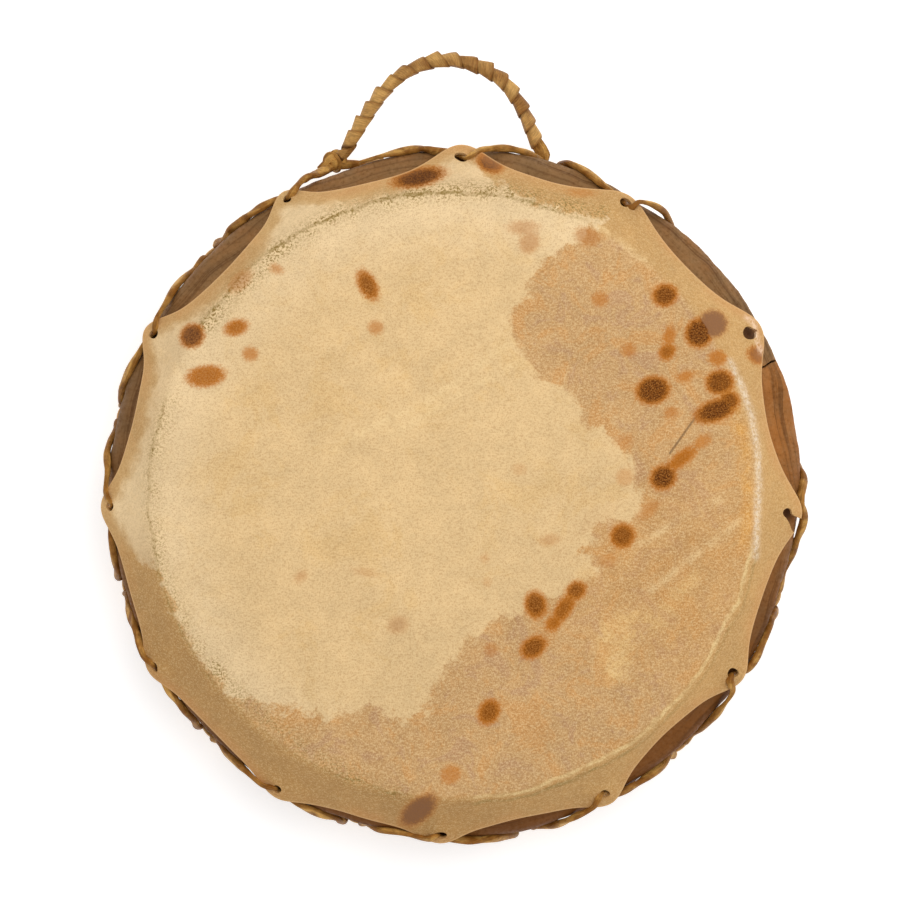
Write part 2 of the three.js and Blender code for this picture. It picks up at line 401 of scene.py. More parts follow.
class Graph:
    """Adds nodes to one shader tree and joins them."""

    def __init__(self, tree):
        self.tree = tree

    def add(self, kind, inputs=(), **settings):
        node = self.tree.nodes.new("ShaderNode" + kind)
        for name, value in settings.items():
            setattr(node, name, value)
        for key, value in dict(inputs).items():
            self.put(node.inputs[key], value)
        return node

    def put(self, socket, value):
        if isinstance(value, bpy.types.NodeSocket):
            self.tree.links.new(value, socket)
        else:
            socket.default_value = value

    def math(self, operation, first, second=0.0, clamp=False):
        node = self.add("Math", {0: first, 1: second}, operation=operation, use_clamp=clamp)
        return node.outputs[0]

    def times(self, first, second, clamp=False):
        return self.math("MULTIPLY", first, second, clamp)

    def plus(self, first, second):
        return self.math("ADD", first, second)

    def less(self, first, second):
        return self.math("SUBTRACT", first, second)

    def vector(self, operation, first, second):
        return self.add("VectorMath", {0: first, 1: second}, operation=operation).outputs[0]

    def stretch(self, vector, factors):
        return self.vector("MULTIPLY", vector, factors)

    def scaled(self, vector, factor):
        return self.add("VectorMath", {0: vector, "Scale": factor}, operation="SCALE").outputs[0]

    def length(self, vector):
        return self.add("VectorMath", {0: vector}, operation="LENGTH").outputs["Value"]

    def blend(self, factor, first, second, how="MIX"):
        node = self.add("Mix", data_type="RGBA", blend_type=how)
        self.put(node.inputs[0], factor)
        self.put(node.inputs[6], opaque(first) if isinstance(first, tuple) else first)
        self.put(node.inputs[7], opaque(second) if isinstance(second, tuple) else second)
        return node.outputs[2]

    def remap(self, value, low, high, to_low=0.0, to_high=1.0):
        inputs = {"Value": value, "From Min": low, "From Max": high, "To Min": to_low, "To Max": to_high}
        return self.add("MapRange", inputs, interpolation_type="SMOOTHSTEP").outputs[0]

    def noise(self, vector, scale, detail=2.0, roughness=0.5, distortion=0.0):
        inputs = {
            "Vector": vector,
            "Scale": scale,
            "Detail": detail,
            "Roughness": roughness,
            "Distortion": distortion,
        }
        return self.add("TexNoise", inputs).outputs["Fac"]

    def shade(self, color, value, low, high):
        """Multiplies a colour by a grey that runs from low to high as the value runs from 0 to 1."""
        grey = self.add("MapRange", {"Value": value, "To Min": low, "To Max": high}).outputs[0]
        return self.scaled(color, grey)

    def beside_line(self, place, start, end):
        """The distance from a place to a straight line between two points, in metres."""
        run = np.subtract(end, start)
        whole = float(np.linalg.norm(run))
        direction = tuple(run / whole)
        from_start = self.vector("SUBTRACT", place, start)
        along = self.add("VectorMath", {0: from_start, 1: direction}, operation="DOT_PRODUCT")
        held = self.math("MINIMUM", self.math("MAXIMUM", along.outputs["Value"], 0.0), whole)
        return self.length(self.vector("SUBTRACT", from_start, self.scaled(direction, held)))

    def attribute(self, name):
        return self.add("Attribute", attribute_name=name).outputs["Fac"]

    def place(self):
        """Where a point is on the drum, in metres."""
        return self.add("TexCoord").outputs["Object"]

    def group(self, tree, inputs):
        node = self.add("Group", node_tree=tree)
        for key, value in inputs.items():
            self.put(node.inputs[key], value)
        return node.outputs


def shared_effect(name, inputs, outputs):
    """An empty shader node group with the given sockets, with its graph, its input and its output node."""
    tree = bpy.data.node_groups.new(name, "ShaderNodeTree")
    for socket, (kind, default) in inputs.items():
        made = tree.interface.new_socket(socket, in_out="INPUT", socket_type="NodeSocket" + kind)
        if default is not None:
            made.default_value = default
    for socket, kind in outputs.items():
        tree.interface.new_socket(socket, in_out="OUTPUT", socket_type="NodeSocket" + kind)
    graph = Graph(tree)
    given = tree.nodes.new("NodeGroupInput").outputs
    result = tree.nodes.new("NodeGroupOutput").inputs
    return tree, graph, given, result


def fibre_effect():
    """Fine, short fibres and flecks: a value of about 0 to 1 and a height for bump."""
    inputs = {"Vector": ("Vector", None), "Size": ("Float", 900.0)}
    tree, graph, given, result = shared_effect("Rawhide Fibre", inputs, {"Fleck": "Float", "Height": "Float"})
    stretched = graph.stretch(given["Vector"], (1.0, 0.55, 1.0))
    long_fibre = graph.noise(stretched, given["Size"], 3.0, 0.65, 0.6)
    crossed = graph.stretch(given["Vector"], (0.5, 1.0, 1.0))
    half_size = graph.times(given["Size"], 0.6)
    cross_fibre = graph.noise(crossed, half_size, 2.0, 0.6, 0.4)
    both = graph.plus(graph.times(long_fibre, 0.6), graph.times(cross_fibre, 0.4))
    graph.put(result["Fleck"], graph.remap(both, 0.38, 0.62))
    graph.put(result["Height"], both)
    return tree


def ragged_effect():
    """Turns a distance in millimetres into a mask with a wandering, frayed edge."""
    inputs = {
        "Vector": ("Vector", None),
        "Distance": ("Float", 0.0),
        "Wander": ("Float", 5.0),
        "Softness": ("Float", 2.0),
        "Size": ("Float", 90.0),
    }
    tree, graph, given, result = shared_effect("Ragged Edge", inputs, {"Mask": "Float"})
    uneven = graph.noise(given["Vector"], given["Size"], 7.0, 0.74, 0.3)
    shift = graph.times(graph.less(uneven, 0.5), given["Wander"])
    shifted = graph.plus(given["Distance"], graph.times(shift, 2.0))
    lowest = graph.times(given["Softness"], -1.0)
    graph.put(result["Mask"], graph.remap(shifted, lowest, given["Softness"]))
    return tree


def mottle_effect():
    """Slow cloudy variation over a surface, 0 to 1."""
    inputs = {"Vector": ("Vector", None), "Size": ("Float", 25.0)}
    tree, graph, given, result = shared_effect("Mottle", inputs, {"Value": "Float"})
    cloud = graph.noise(given["Vector"], given["Size"], 4.0, 0.6, 0.5)
    graph.put(result["Value"], graph.remap(cloud, 0.32, 0.68))
    return tree


EFFECT_MAKERS = {"Rawhide Fibre": fibre_effect, "Ragged Edge": ragged_effect, "Mottle": mottle_effect}


def effect(name):
    """A shared effect, built the first time it is asked for."""
    found = bpy.data.node_groups.get(name)
    return found if found else EFFECT_MAKERS[name]()


def mottle(graph, place, size):
    return graph.group(effect("Mottle"), {"Vector": place, "Size": size})["Value"]


def fibres(graph, place, size):
    return graph.group(effect("Rawhide Fibre"), {"Vector": place, "Size": size})


def ragged_mask(graph, place, distance, wander, softness, size):
    """1 where the named distance on the mesh is positive and 0 where it isn't, with a frayed edge between."""
    edge = {"Vector": place, "Wander": wander, "Softness": softness, "Size": size}
    return graph.group(effect("Ragged Edge"), {**edge, "Distance": graph.attribute(distance)})["Mask"]


def dress(graph, shader, color, roughness, specular, relief, strength, depth):
    """Gives a shader its colour, its roughness, its shine and its fine relief."""
    graph.put(shader.inputs["Base Color"], color)
    graph.put(shader.inputs["Roughness"], roughness)
    shader.inputs["Specular IOR Level"].default_value = specular
    bump = graph.add("Bump", {"Strength": strength, "Distance": depth, "Height": relief})
    graph.put(shader.inputs["Normal"], bump.outputs[0])


def new_material(name):
    """A material with its graph and its principled shader."""
    material = bpy.data.materials.new(name)
    material.use_nodes = True
    graph = Graph(material.node_tree)
    shader = material.node_tree.nodes["Principled BSDF"]
    return material, graph, shader


# ---- what a maker would change ----

def a_length(name, description, default):
    return FloatProperty(name=name, description=description, default=default, unit="LENGTH")


def a_colour(name, description, default):
    return FloatVectorProperty(name=name, description=description, default=default, subtype="COLOR")


class LogSettings(bpy.types.PropertyGroup):
    """The hollowed log."""

    unevenness: a_length("Unevenness", "How far the hand-worked wood strays from a true ring", 0.0006)
    grey_wood: a_colour("Weathered wood", "Colour of the greyer side of the log", paint(138, 104, 66))
    red_wood: a_colour("Warm wood", "Colour of the redder side of the log", paint(156, 97, 43))
    dark_wood: a_colour("Dark streaks", "Colour of the growth rings and the shaded side", paint(74, 42, 14))


class HideSettings(bpy.types.PropertyGroup):
    """The rawhide of the two heads."""

    thickness: a_length("Thickness", "Thickness of the rawhide", 0.0016)
    crease_softness: a_length("Crease softness", "How gently the hide bends over the rim", 0.0013)
    pale: a_colour("Pale hide", "Colour of the pale patch", paint(226, 192, 140))
    tan: a_colour("Tan hide", "Colour of the rest of the face", paint(202, 160, 108))
    rim: a_colour("Rim", "Colour of the hide on the bevel", paint(200, 158, 100))
    rust: a_colour("Rusty fringe", "Colour round the dark spots", paint(184, 105, 10))
    spot: a_colour("Spots", "Colour of the middle of the dark spots", paint(80, 36, 0))


class LacingSettings(bpy.types.PropertyGroup):
    """The thong that laces the heads together."""

    width: a_length("Width", "Width of the rawhide thong", 0.0048)
    thickness: a_length("Thickness", "Thickness of the rawhide thong", 0.0034)
    gold: a_colour("Thong", "Colour of the thong's flat sides", paint(216, 166, 88))
    edge: a_colour("Thong edge", "Colour of the thong's darker edges", paint(134, 84, 28))


class HandleSettings(bpy.types.PropertyGroup):
    """The bound carrying handle."""

    turns: IntProperty(
        name="Turns",
        description="Number of turns of the binding",
        default=17,
        min=4,
    )
    strip_width: a_length("Strip width", "Width of the strip that binds the handle", 0.0100)
    flare: a_length("Flare", "How far each turn's free edge stands out", 0.0016)
    light: a_colour("Light turns", "Colour of the lighter turns", paint(200, 154, 88))
    dark: a_colour("Dark turns", "Colour of the darker turns", paint(134, 84, 34))


class StageSettings(bpy.types.PropertyGroup):
    """The floor, the lights and the camera."""

    eye_height: a_length("Eye height", "Height of the camera over the floor", 1.6)
    daylight: FloatProperty(
        name="Daylight",
        description="Strength of the even light from all round",
        default=0.68,
        min=0,
    )
    lamp_power: FloatProperty(
        name="Lamp power",
        description="Power of the large soft lamp",
        default=17.0,
        unit="POWER",
    )
    floor_glow: FloatProperty(
        name="Floor glow",
        description="Light that the white floor gives off, which keeps its shadows pale",
        default=0.4,
        min=0,
    )
    floor: a_colour("Floor", "Colour of the floor", (0.92, 0.92, 0.92))


# ---- the hollowed log ----

SHELL_COLUMNS = 720
CRACK_ANGLE = 22.5
CRACK_HALF_WIDTH = 1.4  # how far to either side the crack's inside reaches, which is painted almost black as shade
SHOULDER_STARTS = 3.0  # the height over the middle where the log's shoulder begins to fall in
SHOULDER_SPAN = 18.0
SHOULDER_FALL = 7.2  # how far it has fallen in by the end of that span
BORE_UNEVENNESS = 0.4  # how much of the outside's unevenness the bore and the rim have

# How far the log's waist is full or flat round the side, in millimetres.
WAIST = (
    (0, 0.2), (8, 1.7), (18, 4.0), (23, 3.3), (29, 2.0), (34, 2.4), (42, 1.6), (50, 2.2), (58, 0.9),
    (62, 1.8), (69, 1.2), (80, 0.3), (88, 0.0), (100, -0.3), (112, -1.8), (118, -1.6), (130, -2.4),
    (140, -1.9), (150, -0.6), (160, -0.5), (170, -1.9), (178, -0.4), (192, -1.8), (201, -2.9),
    (209, -0.8), (221, -3.3), (231, -3.1), (240, -0.8), (252, -2.7), (260, -2.6), (268, -0.7),
    (276, -2.0), (282, -1.0), (289, -1.8), (297, -0.8), (304, -2.1), (318, -2.4), (327, -1.2),
    (335, -3.5), (343, -2.5), (352, -0.8),
)

# How warm the wood is round the rim, and how much painted shade darkens it, most on the lower side away from
# the lamp.
WOOD_WARMTH = (
    (0, 0.7), (14, 0.72), (21, 0.65), (24, 0.2), (45, 0.25), (75, 0.1), (105, 0.35), (135, 0.25),
    (165, 0.15), (200, 0.5), (260, 0.8), (300, 1.0), (345, 0.55),
)
WOOD_SHADE = (
    (0, 0.15), (15, 0.0), (45, 0.2), (75, 0.25), (105, 0.2), (135, 0.25), (165, 0.5), (215, 0.8),
    (265, 0.8), (312, 0.72), (345, 0.55),
)


def shell_profile():
    """Radius and height round the log's wall, from the middle of its outside up, over and down the bore."""
    arc = np.radians(np.linspace(0, 45, 15))
    centre_r, centre_h = SHOULDER_AT
    shoulder = [(centre_r + SHOULDER_R * np.cos(a), centre_h + SHOULDER_R * np.sin(a)) for a in arc]
    soft = 1.4  # rounding of the rim's corner
    bevel = [(r, BEVEL - r) for r in np.linspace(BEVEL_END_R, RIM_R + soft, 15)[1:]]
    rim_height = BEVEL - RIM_R
    rim = [
        (RIM_R + 0.3, rim_height - 0.5),
        (RIM_R - 0.8, rim_height - 0.15),
        (BORE_R + 0.8, rim_height - 0.1),
    ]
    bore = [(BORE_R, h) for h in np.linspace(rim_height - 0.9, 4, 6)]
    upper = [(SHELL_R, 1.0), *shoulder, *bevel, *rim, *bore]
    lower = [(r, -h) for r, h in upper[::-1]]
    return upper + lower


def log_swell(points, settings):
    """The broad unevenness of the log, in millimetres."""
    waist = round_the_rim(angles_of(points), WAIST) * smoothstep(20, 7, np.abs(points[:, 2] - MIDDLE))
    return settings.unevenness / MM * ripple(points, 95, seed=3) + waist


def shell_offset(points, settings):
    """How far the worked wood stands off the true ring, in millimetres."""
    uneven = settings.unevenness / MM
    facets = 0.45 * uneven * np.abs(ripple(points, 30, seed=4))
    fibres = 0.1 * ripple(points * (1, 1, 0.05), 5, seed=5)
    return log_swell(points, settings) + facets + fibres


def crack_cutter():
    """A thin, crooked wedge that stands upright in the log's outside, open outward."""
    heights = np.linspace(4, 37, 15)
    share = np.linspace(0, 1, len(heights))
    surface = np.minimum(SHELL_R, BEVEL - heights)
    depth = 11 * np.sin(np.pi * np.clip(share, 0.04, 0.97)) ** 0.5
    half_width = 0.15 + 0.62 * np.sin(np.pi * share) ** 0.7
    stray = 0.5 * np.sin(share * 9) + 0.35 * np.sin(share * 23 + 1)
    rings = []
    for h, r, d, w, s in zip(heights, surface, depth, half_width, stray):
        corners = [(r - d, s * 0.4), (SHELL_R + 6, s - w * 1.4), (SHELL_R + 6, s + w * 1.4)]
        ring = [polar(CRACK_ANGLE + np.degrees(across / SHELL_R), out, h) for out, across in corners]
        rings.append(np.array(ring))
    faces = join_rings(rings)
    last = 3 * (len(rings) - 1)
    faces = [face[::-1] for face in faces] + [[2, 1, 0], [last, last + 1, last + 2]]
    return np.vstack(rings), faces


def in_crack(points):
    """Which points lie in the drying crack, under the log's surface."""
    radius = radii_of(points)
    height = np.abs(points[:, 2] - MIDDLE)
    rounded = np.clip((height - SHOULDER_STARTS) / SHOULDER_SPAN, 0, None) ** 2
    surface = np.minimum(SHELL_R - SHOULDER_FALL * rounded, BEVEL - height)
    beside = np.abs(np.radians(angle_between(angles_of(points), CRACK_ANGLE))) * SHELL_R
    above = points[:, 2] > MIDDLE
    return above & (beside < CRACK_HALF_WIDTH) & (radius < surface - 1.0) & (radius > RIM_R)


def wood_material(settings):
    """Smooth weathered wood: growth rings round the axis, fibres along the log, and painted shade round the
    rim, in the hollows under the front holes and in the crack.
    """
    material, graph, shader = new_material("Weathered log wood")
    place = graph.place()
    level = graph.stretch(place, (1.0, 1.0, 0.0))
    wander = graph.times(graph.noise(place, 14.0, 3.0), 0.02)
    ring_place = graph.plus(graph.length(level), wander)
    rings = graph.add("CombineXYZ", {"X": ring_place}).outputs[0]
    slow = graph.stretch(place, (0.02, 0.02, 0.01))
    ring_noise = graph.noise(graph.vector("ADD", rings, slow), 330.0, 3.0, 0.7)
    along = graph.stretch(place, (1.0, 1.0, 0.03))
    fibre = graph.noise(along, 520.0, 4.0, 0.65)
    coarse = graph.noise(along, 90.0, 3.0, 0.6)
    warm = graph.attribute("warmth")
    patchy = graph.plus(warm, graph.times(graph.less(coarse, 0.5), 0.9))
    color = graph.blend(graph.remap(patchy, 0.0, 1.0), tuple(settings.grey_wood), tuple(settings.red_wood))
    dark = tuple(settings.dark_wood)
    color = graph.blend(graph.remap(ring_noise, 0.48, 0.68, 0.0, 0.6), color, dark)
    color = graph.blend(graph.remap(fibre, 0.5, 0.7, 0.0, 0.38), color, dark)
    pale = graph.remap(fibre, 0.48, 0.3, 0.0, 0.2)
    color = graph.blend(pale, color, paint(176, 134, 88))
    color = graph.shade(color, mottle(graph, place, 38.0), 0.86, 1.1)
    # painted shade: the wood darkens towards its dark colour round the rim, under the front holes and a
    # little towards the floor
    color = graph.blend(graph.times(graph.attribute("shade"), 0.8, True), color, dark)
    # painted shade: the inside of the drying crack is painted almost black
    cut = graph.remap(graph.attribute("cut"), 0.0, 1.0, 0.0, 0.85)
    color = graph.blend(cut, color, (0.012, 0.008, 0.005))
    relief = graph.plus(graph.times(fibre, 0.5), graph.times(ring_noise, 0.5))
    dress(graph, shader, color, graph.remap(fibre, 0.3, 0.7, 0.55, 0.75), 0.06, relief, 0.35, 0.0006)
    return material


class DRUM_OT_carve_log(bpy.types.Operator):
    """Carve the hollowed log with its bevelled rims and its drying crack"""

    bl_idname = "drum.carve_log"
    bl_label = "Carve log"

    def execute(self, context):
        settings = context.scene.drum_log
        angles = np.arange(SHELL_COLUMNS) * 360 / SHELL_COLUMNS
        profile = shell_profile()
        rings = []
        for radius, height in profile:
            ring = polar(angles, radius, height)
            offset = shell_offset(ring, settings)
            if radius < RIM_R - 0.2:
                offset = offset * BORE_UNEVENNESS
            rings.append(polar(angles, radius + offset, height))
        faces = join_rings(rings, loop=True)
        log = make_object("hollowed_log", np.vstack(rings), faces, flip=True)
        cut_away(log, [crack_cutter()])
        points = points_of(log)
        at = angles_of(points)
        # painted shade in the hollows under the front head's holes, and the wood a little darker towards the
        # floor
        darker_low_and_under_holes = 0.12 * smoothstep(0, 20, MIDDLE - points[:, 2])
        for tab in FRONT_TABS:
            hole = polar(tab.angle, tab.hole_at, BEVEL - tab.hole_at)
            darker_low_and_under_holes += 1.2 * bell(np.linalg.norm(points - hole, axis=1), 4.5)
        paint_values(log, {
            "warmth": round_the_rim(at, WOOD_WARMTH),
            "shade": round_the_rim(at, WOOD_SHADE) + darker_low_and_under_holes,
            "cut": in_crack(points),
        })
        finish_piece(log, wood_material(settings), "log_shell")
        return {"FINISHED"}


# ---- the heads ----

HIDE_COLUMNS = 720
EDGE_ROWS = 15
# The rings of a head's face: the first and last radius of a band, its step and how many points a ring has.
FACE_BANDS = (
    (2, 20, 2, 90),
    (22, 44, 2, 180),
    (46, 98, 2, 360),
    (100, 145, 2.25, 720),
    (146.5, 156, 0.9, 720),
)

# The pale patch of the front head, in millimetres: where the paler hide ends.
PALE_PATCH = (
    (73, 137), (66, 131), (62, 124), (54, 122), (45, 115), (38, 106), (36, 96), (30, 82), (36, 70),
    (41, 57), (54, 53), (64, 46), (62, 37), (74, 33), (82, 25), (88, 12), (94, 2), (92, -8), (84, -13),
    (72, -16), (65, -27), (73, -37), (63, -45), (52, -51), (33, -57), (22, -61), (9, -71), (1, -81),
    (-6, -92), (-14, -108), (-26, -112), (-37, -104), (-51, -107), (-64, -110), (-80, -106), (-96, -103),
    (-112, -96), (-123, -83), (-136, -64), (-142, -48), (-148, -34), (-162, -29), (-180, -24), (-182, 4),
    (-172, 30), (-166, 54), (-162, 78), (-150, 96), (-130, 116), (-112, 134), (-92, 152), (-66, 160),
    (-38, 166), (-2, 172),
    (12, 166), (20, 156), (32, 150), (48, 145), (62, 140),
)
# A yellower, streaky patch inside the tan hide.
YELLOW_PATCH = (
    (71, -65), (79, -62), (84, -57), (92, -55), (98, -58), (104, -52), (112, -43), (122, -36), (118, -48),
    (107, -58), (99, -68), (91, -70), (88, -78), (85, -90), (76, -92), (72, -80),
)
# The marks where the hide turns over the rim, and folds in the face.
BLEACHED = ((137, 66), (143, 55), (148, 40), (151, 22), (151.5, 4), (150.5, -17), (150, -30))
GILDED = ((134, 56), (141, 38), (145.5, 15), (146.5, -5), (145, -22))
YELLOWED = (
    (147, -30), (140, -52), (130, -71), (117, -91), (103, -108), (85, -125), (65, -137), (43, -145),
    (14, -150),
)
GREENED = (
    ((-124, 82), (-106, 102), (-90, 118), (-75, 129), (-61, 138), (-41, 144), (-21, 149), (4, 151), (28, 151),
     (46, 146), (73, 141)),
    ((-140, 45), (-146, 27), (-149, 8), (-148, -12), (-144, -32), (-138, -52), (-130, -69), (-117, -86)),
    ((-117, -86), (-103, -101), (-100, -104), (-75, -124), (-51, -139), (-26, -148)),
)
GRIME = (1.0, 0.55, 0.6)  # how strongly each line of grime shows
# A frayed ridge by the slipped tab: worn fibres with a painted highlight where it catches the light.
FRAYED_LIT_RIDGE = ((147, 88.7), (150.9, 85.8), (151.5, 81.3), (152.9, 75.4), (154.4, 71.9))
FOLDS = (
    ((-58, 23), (-36, 36), (-11, 47), (9, 62), (28, 75)),
    ((-30, 30), (-4, 45), (18, 58), (34, 66)),
    ((73, 134), (85, 124), (98, 114)),
    ((93, -24), (112, -12), (132, -2)),
    ((98, -47), (117, -32), (142, -12)),
)
BRUSHED_AT = (108, -38)  # where the tan hide is streaked, and how far
BRUSHED_SIZE = (62, 52)
BRUSH_TURN = -0.65  # the way its streaks run, in radians
DARK_LINE = ((0.1075, 0.021, 0.0), (0.1198, 0.0383, 0.0))  # a fine scratch, in metres

Spot = namedtuple("Spot", "x y length width tilt darkness greyness", defaults=(0,))

# Half sizes in millimetres. Darkness runs from a faint stain, 0, to dark brown, 1.
SPOTS = tuple(Spot(*row) for row in (
    (-17, 158, 13.0, 5.0, 12, 1.0, 0.45), (19, 166, 6.8, 5.0, -25, 0.9, 0.45),
    (-42, 104, 7.6, 4.3, -62, 0.65), (-38, 83, 3.4, 3.0, 0, 0.3), (-129, 79, 6.2, 5.8, 30, 0.85, 0.25),
    (-107, 83, 5.6, 3.6, 18, 0.52), (-100, 70, 3.4, 3.2, 0, 0.36), (-122, 59, 9.2, 5.0, 8, 0.5),
    (-87, 112, 2.8, 2.0, -20, 0.3), (-105, 106, 6.5, 3.6, 42, 0.2, 0.3), (105, 99, 6.2, 5.4, 20, 0.75),
    (129, 85, 8.0, 7.0, 20, 0.85, 0.9), (122, 80.5, 7.6, 6.8, 60, 0.92), (106, 71, 4.2, 3.6, 50, 0.6),
    (107, 79, 4.4, 2.6, 80, 0.4), (87, 72, 3.3, 3.0, 0, 0.3), (73, 97, 3.8, 3.2, 0, 0.3),
    (99, 52, 8.4, 6.9, 15, 1.0), (115, 59, 3.6, 2.3, 15, 0.35), (108, 41, 3.0, 2.6, 0, 0.3),
    (132, 56, 7.0, 6.0, 15, 0.75), (130, 42, 10.8, 5.4, 20, 0.9), (137, 47, 4.8, 4.6, 0, 0.72),
    (131, 68, 3.6, 4.2, 80, 0.4), (153, 70, 4.4, 6.0, 80, 0.6, 0.6), (104, 9, 6.6, 6.0, 40, 0.95),
    (113, 18, 8.6, 3.2, 38, 0.5), (124, 27, 3.8, 2.8, 30, 0.3), (84, -20, 6.0, 5.7, 40, 0.68),
    (85, 27, 4.4, 3.0, 10, 0.18), (85, 9, 4.0, 4.0, 0, 0.18), (97, -7, 5.8, 2.8, 40, 0.22),
    (41, -54, 5.2, 6.7, 10, 0.7), (61, -47, 5.2, 4.3, 40, 0.68), (55, -56, 8.4, 3.7, 56, 0.62),
    (50, -63, 4.4, 3.2, 50, 0.55), (40, -75, 7.0, 4.9, 35, 0.7), (18, -107, 6.5, 5.0, 60, 0.66),
    (-1, -138, 4.8, 4.2, 30, 0.3), (35, 132.5, 7.2, 3.0, 0, 0.2, 0.2),
    (38, 125, 5.2, 4.4, 60, 0.22, 0.2), (66.5, 128, 4.0, 5.8, 70, 0.26, 0.2),
    (64, 151, 5.8, 2.0, 0, 0.22), (19, -76, 3.2, 3.0, 0, 0.2), (77, -32, 4.0, 3.0, 0, 0.15),
    (-27, -64, 5.0, 4.0, 20, 0.12, 0.3), (-75, -40, 3.0, 2.0, 40, 0.16, 0.2),
    (48, -22, 4.4, 2.4, 10, 0.14, 0.2), (-43, -38, 5.0, 1.5, -10, 0.1, 0.2), (33, 13, 3.0, 2.4, 0, 0.1),
    (16, -31, 1.8, 1.8, 0, 0.14), (17, -43, 1.8, 1.8, 0, 0.12),
    (-17, -156.5, 11.5, 6.0, 45, 0.88, 0.85),
))

# How far painted shade darkens the hide on the bevel round the rim.
RIM_SHADE = (
    (0, 0.0), (35, 0.0), (60, 0.12), (75, 0.14), (88, 0.16), (105, 0.18), (120, 0.04), (135, 0.34),
    (150, 0.18), (165, 0.2), (180, 0.0), (195, 0.32), (215, 0.4), (240, 0.36), (268, 0.46), (290, 0.26),
    (300, 0.18), (330, 0.1),
)


def scallop_dip(share, flank_before, flank_after):
    """How deep the cut edge has dipped at a share of the way between two tabs, 0 to 1."""
    from_tab = np.minimum(share / flank_before, (1 - share) / flank_after)
    flank = 1 - np.exp(-from_tab ** 2)
    return FLANK_DEPTH * flank + (1 - FLANK_DEPTH) * np.sin(np.pi * share) ** 2


def edge_radius(angles, tabs):
    """How far out the cut edge of a head runs."""
    angles = np.asarray(angles)
    edge = np.zeros(angles.shape)
    for i, tab in enumerate(tabs):
        following = tabs[(i + 1) % len(tabs)]
        bay = tab.angle - next_angle(tabs, i)
        share = (tab.angle - angles) % 360 / bay
        tip = tab.tip + (following.tip - tab.tip) * smoothstep(0.3, 0.7, share)
        dip = scallop_dip(np.clip(share, 0, 1), tab.flank, following.flank)
        reach = tip + (tab.scallop - tip) * dip
        edge = np.where(share < 1, reach, edge)
    waver = polar(angles, 30.0, 0.0)
    return edge + 0.35 * ripple(waver, 6, seed=1 if tabs is FRONT_TABS else 0)


def tab_weight(angles, tabs):
    """1 at a tab's middle, falling to 0 in the bays."""
    return sum(bell(angle_between(angles, tab.angle), TAB_SPREAD) for tab in tabs)


def hide_height(points, tabs, softness, folds):
    """Height of a head's outside over the middle plane, above points given as x and y."""
    radius = radii_of(points)
    angles = angles_of(points)
    crease_r = BEVEL + RIM_DROP * np.sqrt(2) - MIDDLE
    height = MIDDLE - soft_ramp(radius - crease_r, softness)
    past_lift = soft_ramp(radius - TAB_LIFT_R, TAB_LIFT_SOFTNESS)
    height += TAB_RISE * past_lift * np.clip(tab_weight(angles, tabs), 0, 1)
    for tab in tabs:
        beside = angle_between(angles, tab.angle)
        thong = bell(beside - 1.8, 2.0)  # the thong comes up under this side of the tab
        height += 0.9 * thong * smoothstep(161, 171, radius)
        round_way = np.radians(beside) * radius / tab.hole[0]
        from_hole = np.hypot(round_way, (radius - tab.hole_at) / tab.hole[1])
        height += 0.35 * bell(from_hole - 1.25, 0.5)  # a lip round the hole
    fade = smoothstep(150, 140, radius)
    height += fade * (0.1 * ripple(points, 42, seed=11) + 0.04 * ripple(points, 13, seed=12))
    height += 0.12 * (1 - fade) * ripple(points, 17, seed=13)
    for line in folds:
        height += 0.16 * bell(distance_to_line(points, line), 1.6) * (0.6 + 0.4 * ripple(points, 9, seed=14))
    return height


def hide_normals(points, tabs, softness):
    """Directions that point straight out of a head's outside."""
    step = 0.4
    slopes = []
    for axis in (0, 1):
        shift = np.zeros(2)
        shift[axis] = step
        higher = hide_height(points + shift, tabs, softness, ())
        lower = hide_height(points - shift, tabs, softness, ())
        slopes.append((higher - lower) / (2 * step))
    return unit(np.stack([-slopes[0], -slopes[1], np.ones(len(points))], 1))


def head_rows(tabs):
    """The rings of a head's face from its middle to its edge, each as x and y."""
    rows = [np.zeros((1, 2))]
    for start, end, step, columns in FACE_BANDS:
        for radius in np.arange(start, end + step / 2, step):
            rows.append(polar(np.arange(columns) * 360 / columns, radius, 0)[:, :2])
    angles = np.arange(HIDE_COLUMNS) * 360 / HIDE_COLUMNS
    edge = edge_radius(angles, tabs)
    last = np.hypot(*rows[-1][0])
    for share in np.linspace(0, 1, EDGE_ROWS + 1)[1:]:
        rows.append(polar(angles, last + (edge - last) * share, 0)[:, :2])
    return rows


def head_rings(tabs, thickness, softness, folds):
    """Every ring of a head: over its face, round its cut edge and back underneath."""
    rows = head_rows(tabs)
    outside = []
    inside = []
    for row in rows:
        height = hide_height(row, tabs, softness, folds) + MIDDLE
        normals = hide_normals(row, tabs, softness)
        outside.append(np.column_stack([row, height]))
        inside.append(outside[-1] - normals * thickness)
    outward = unit(outside[-1] - outside[-2])
    lip = []
    for turn in np.radians((60, 25, -25, -60)):
        middle = (outside[-1] + inside[-1]) / 2
        up = (outside[-1] - inside[-1]) / 2
        lip.append(middle + up * np.sin(turn) + outward * np.cos(turn) * thickness * 0.42)
    inward = inside[::-1]
    # every other ring is enough for the hidden side, and each one where the number of points changes
    darker_low_and_under_holes = [ring for i, ring in enumerate(inward) if i % 2 == 0 or len(ring) != len(inward[i - 1])]
    return outside + lip + darker_low_and_under_holes


def hole_cutter(tab, tabs, softness, thickness):
    """A slightly irregular round punch that goes through a tab square to its surface."""
    turn = np.linspace(0, 2 * np.pi, 28, endpoint=False)
    uneven = 1 + 0.08 * np.sin(2 * turn + tab.angle) + 0.05 * np.sin(3 * turn + 2 * tab.angle)
    round_way = tab.hole[0] * uneven * np.cos(turn)
    out_way = tab.hole[1] * uneven * np.sin(turn)
    return local_prism(tab, tabs, softness, np.stack([round_way, out_way], 1), thickness)


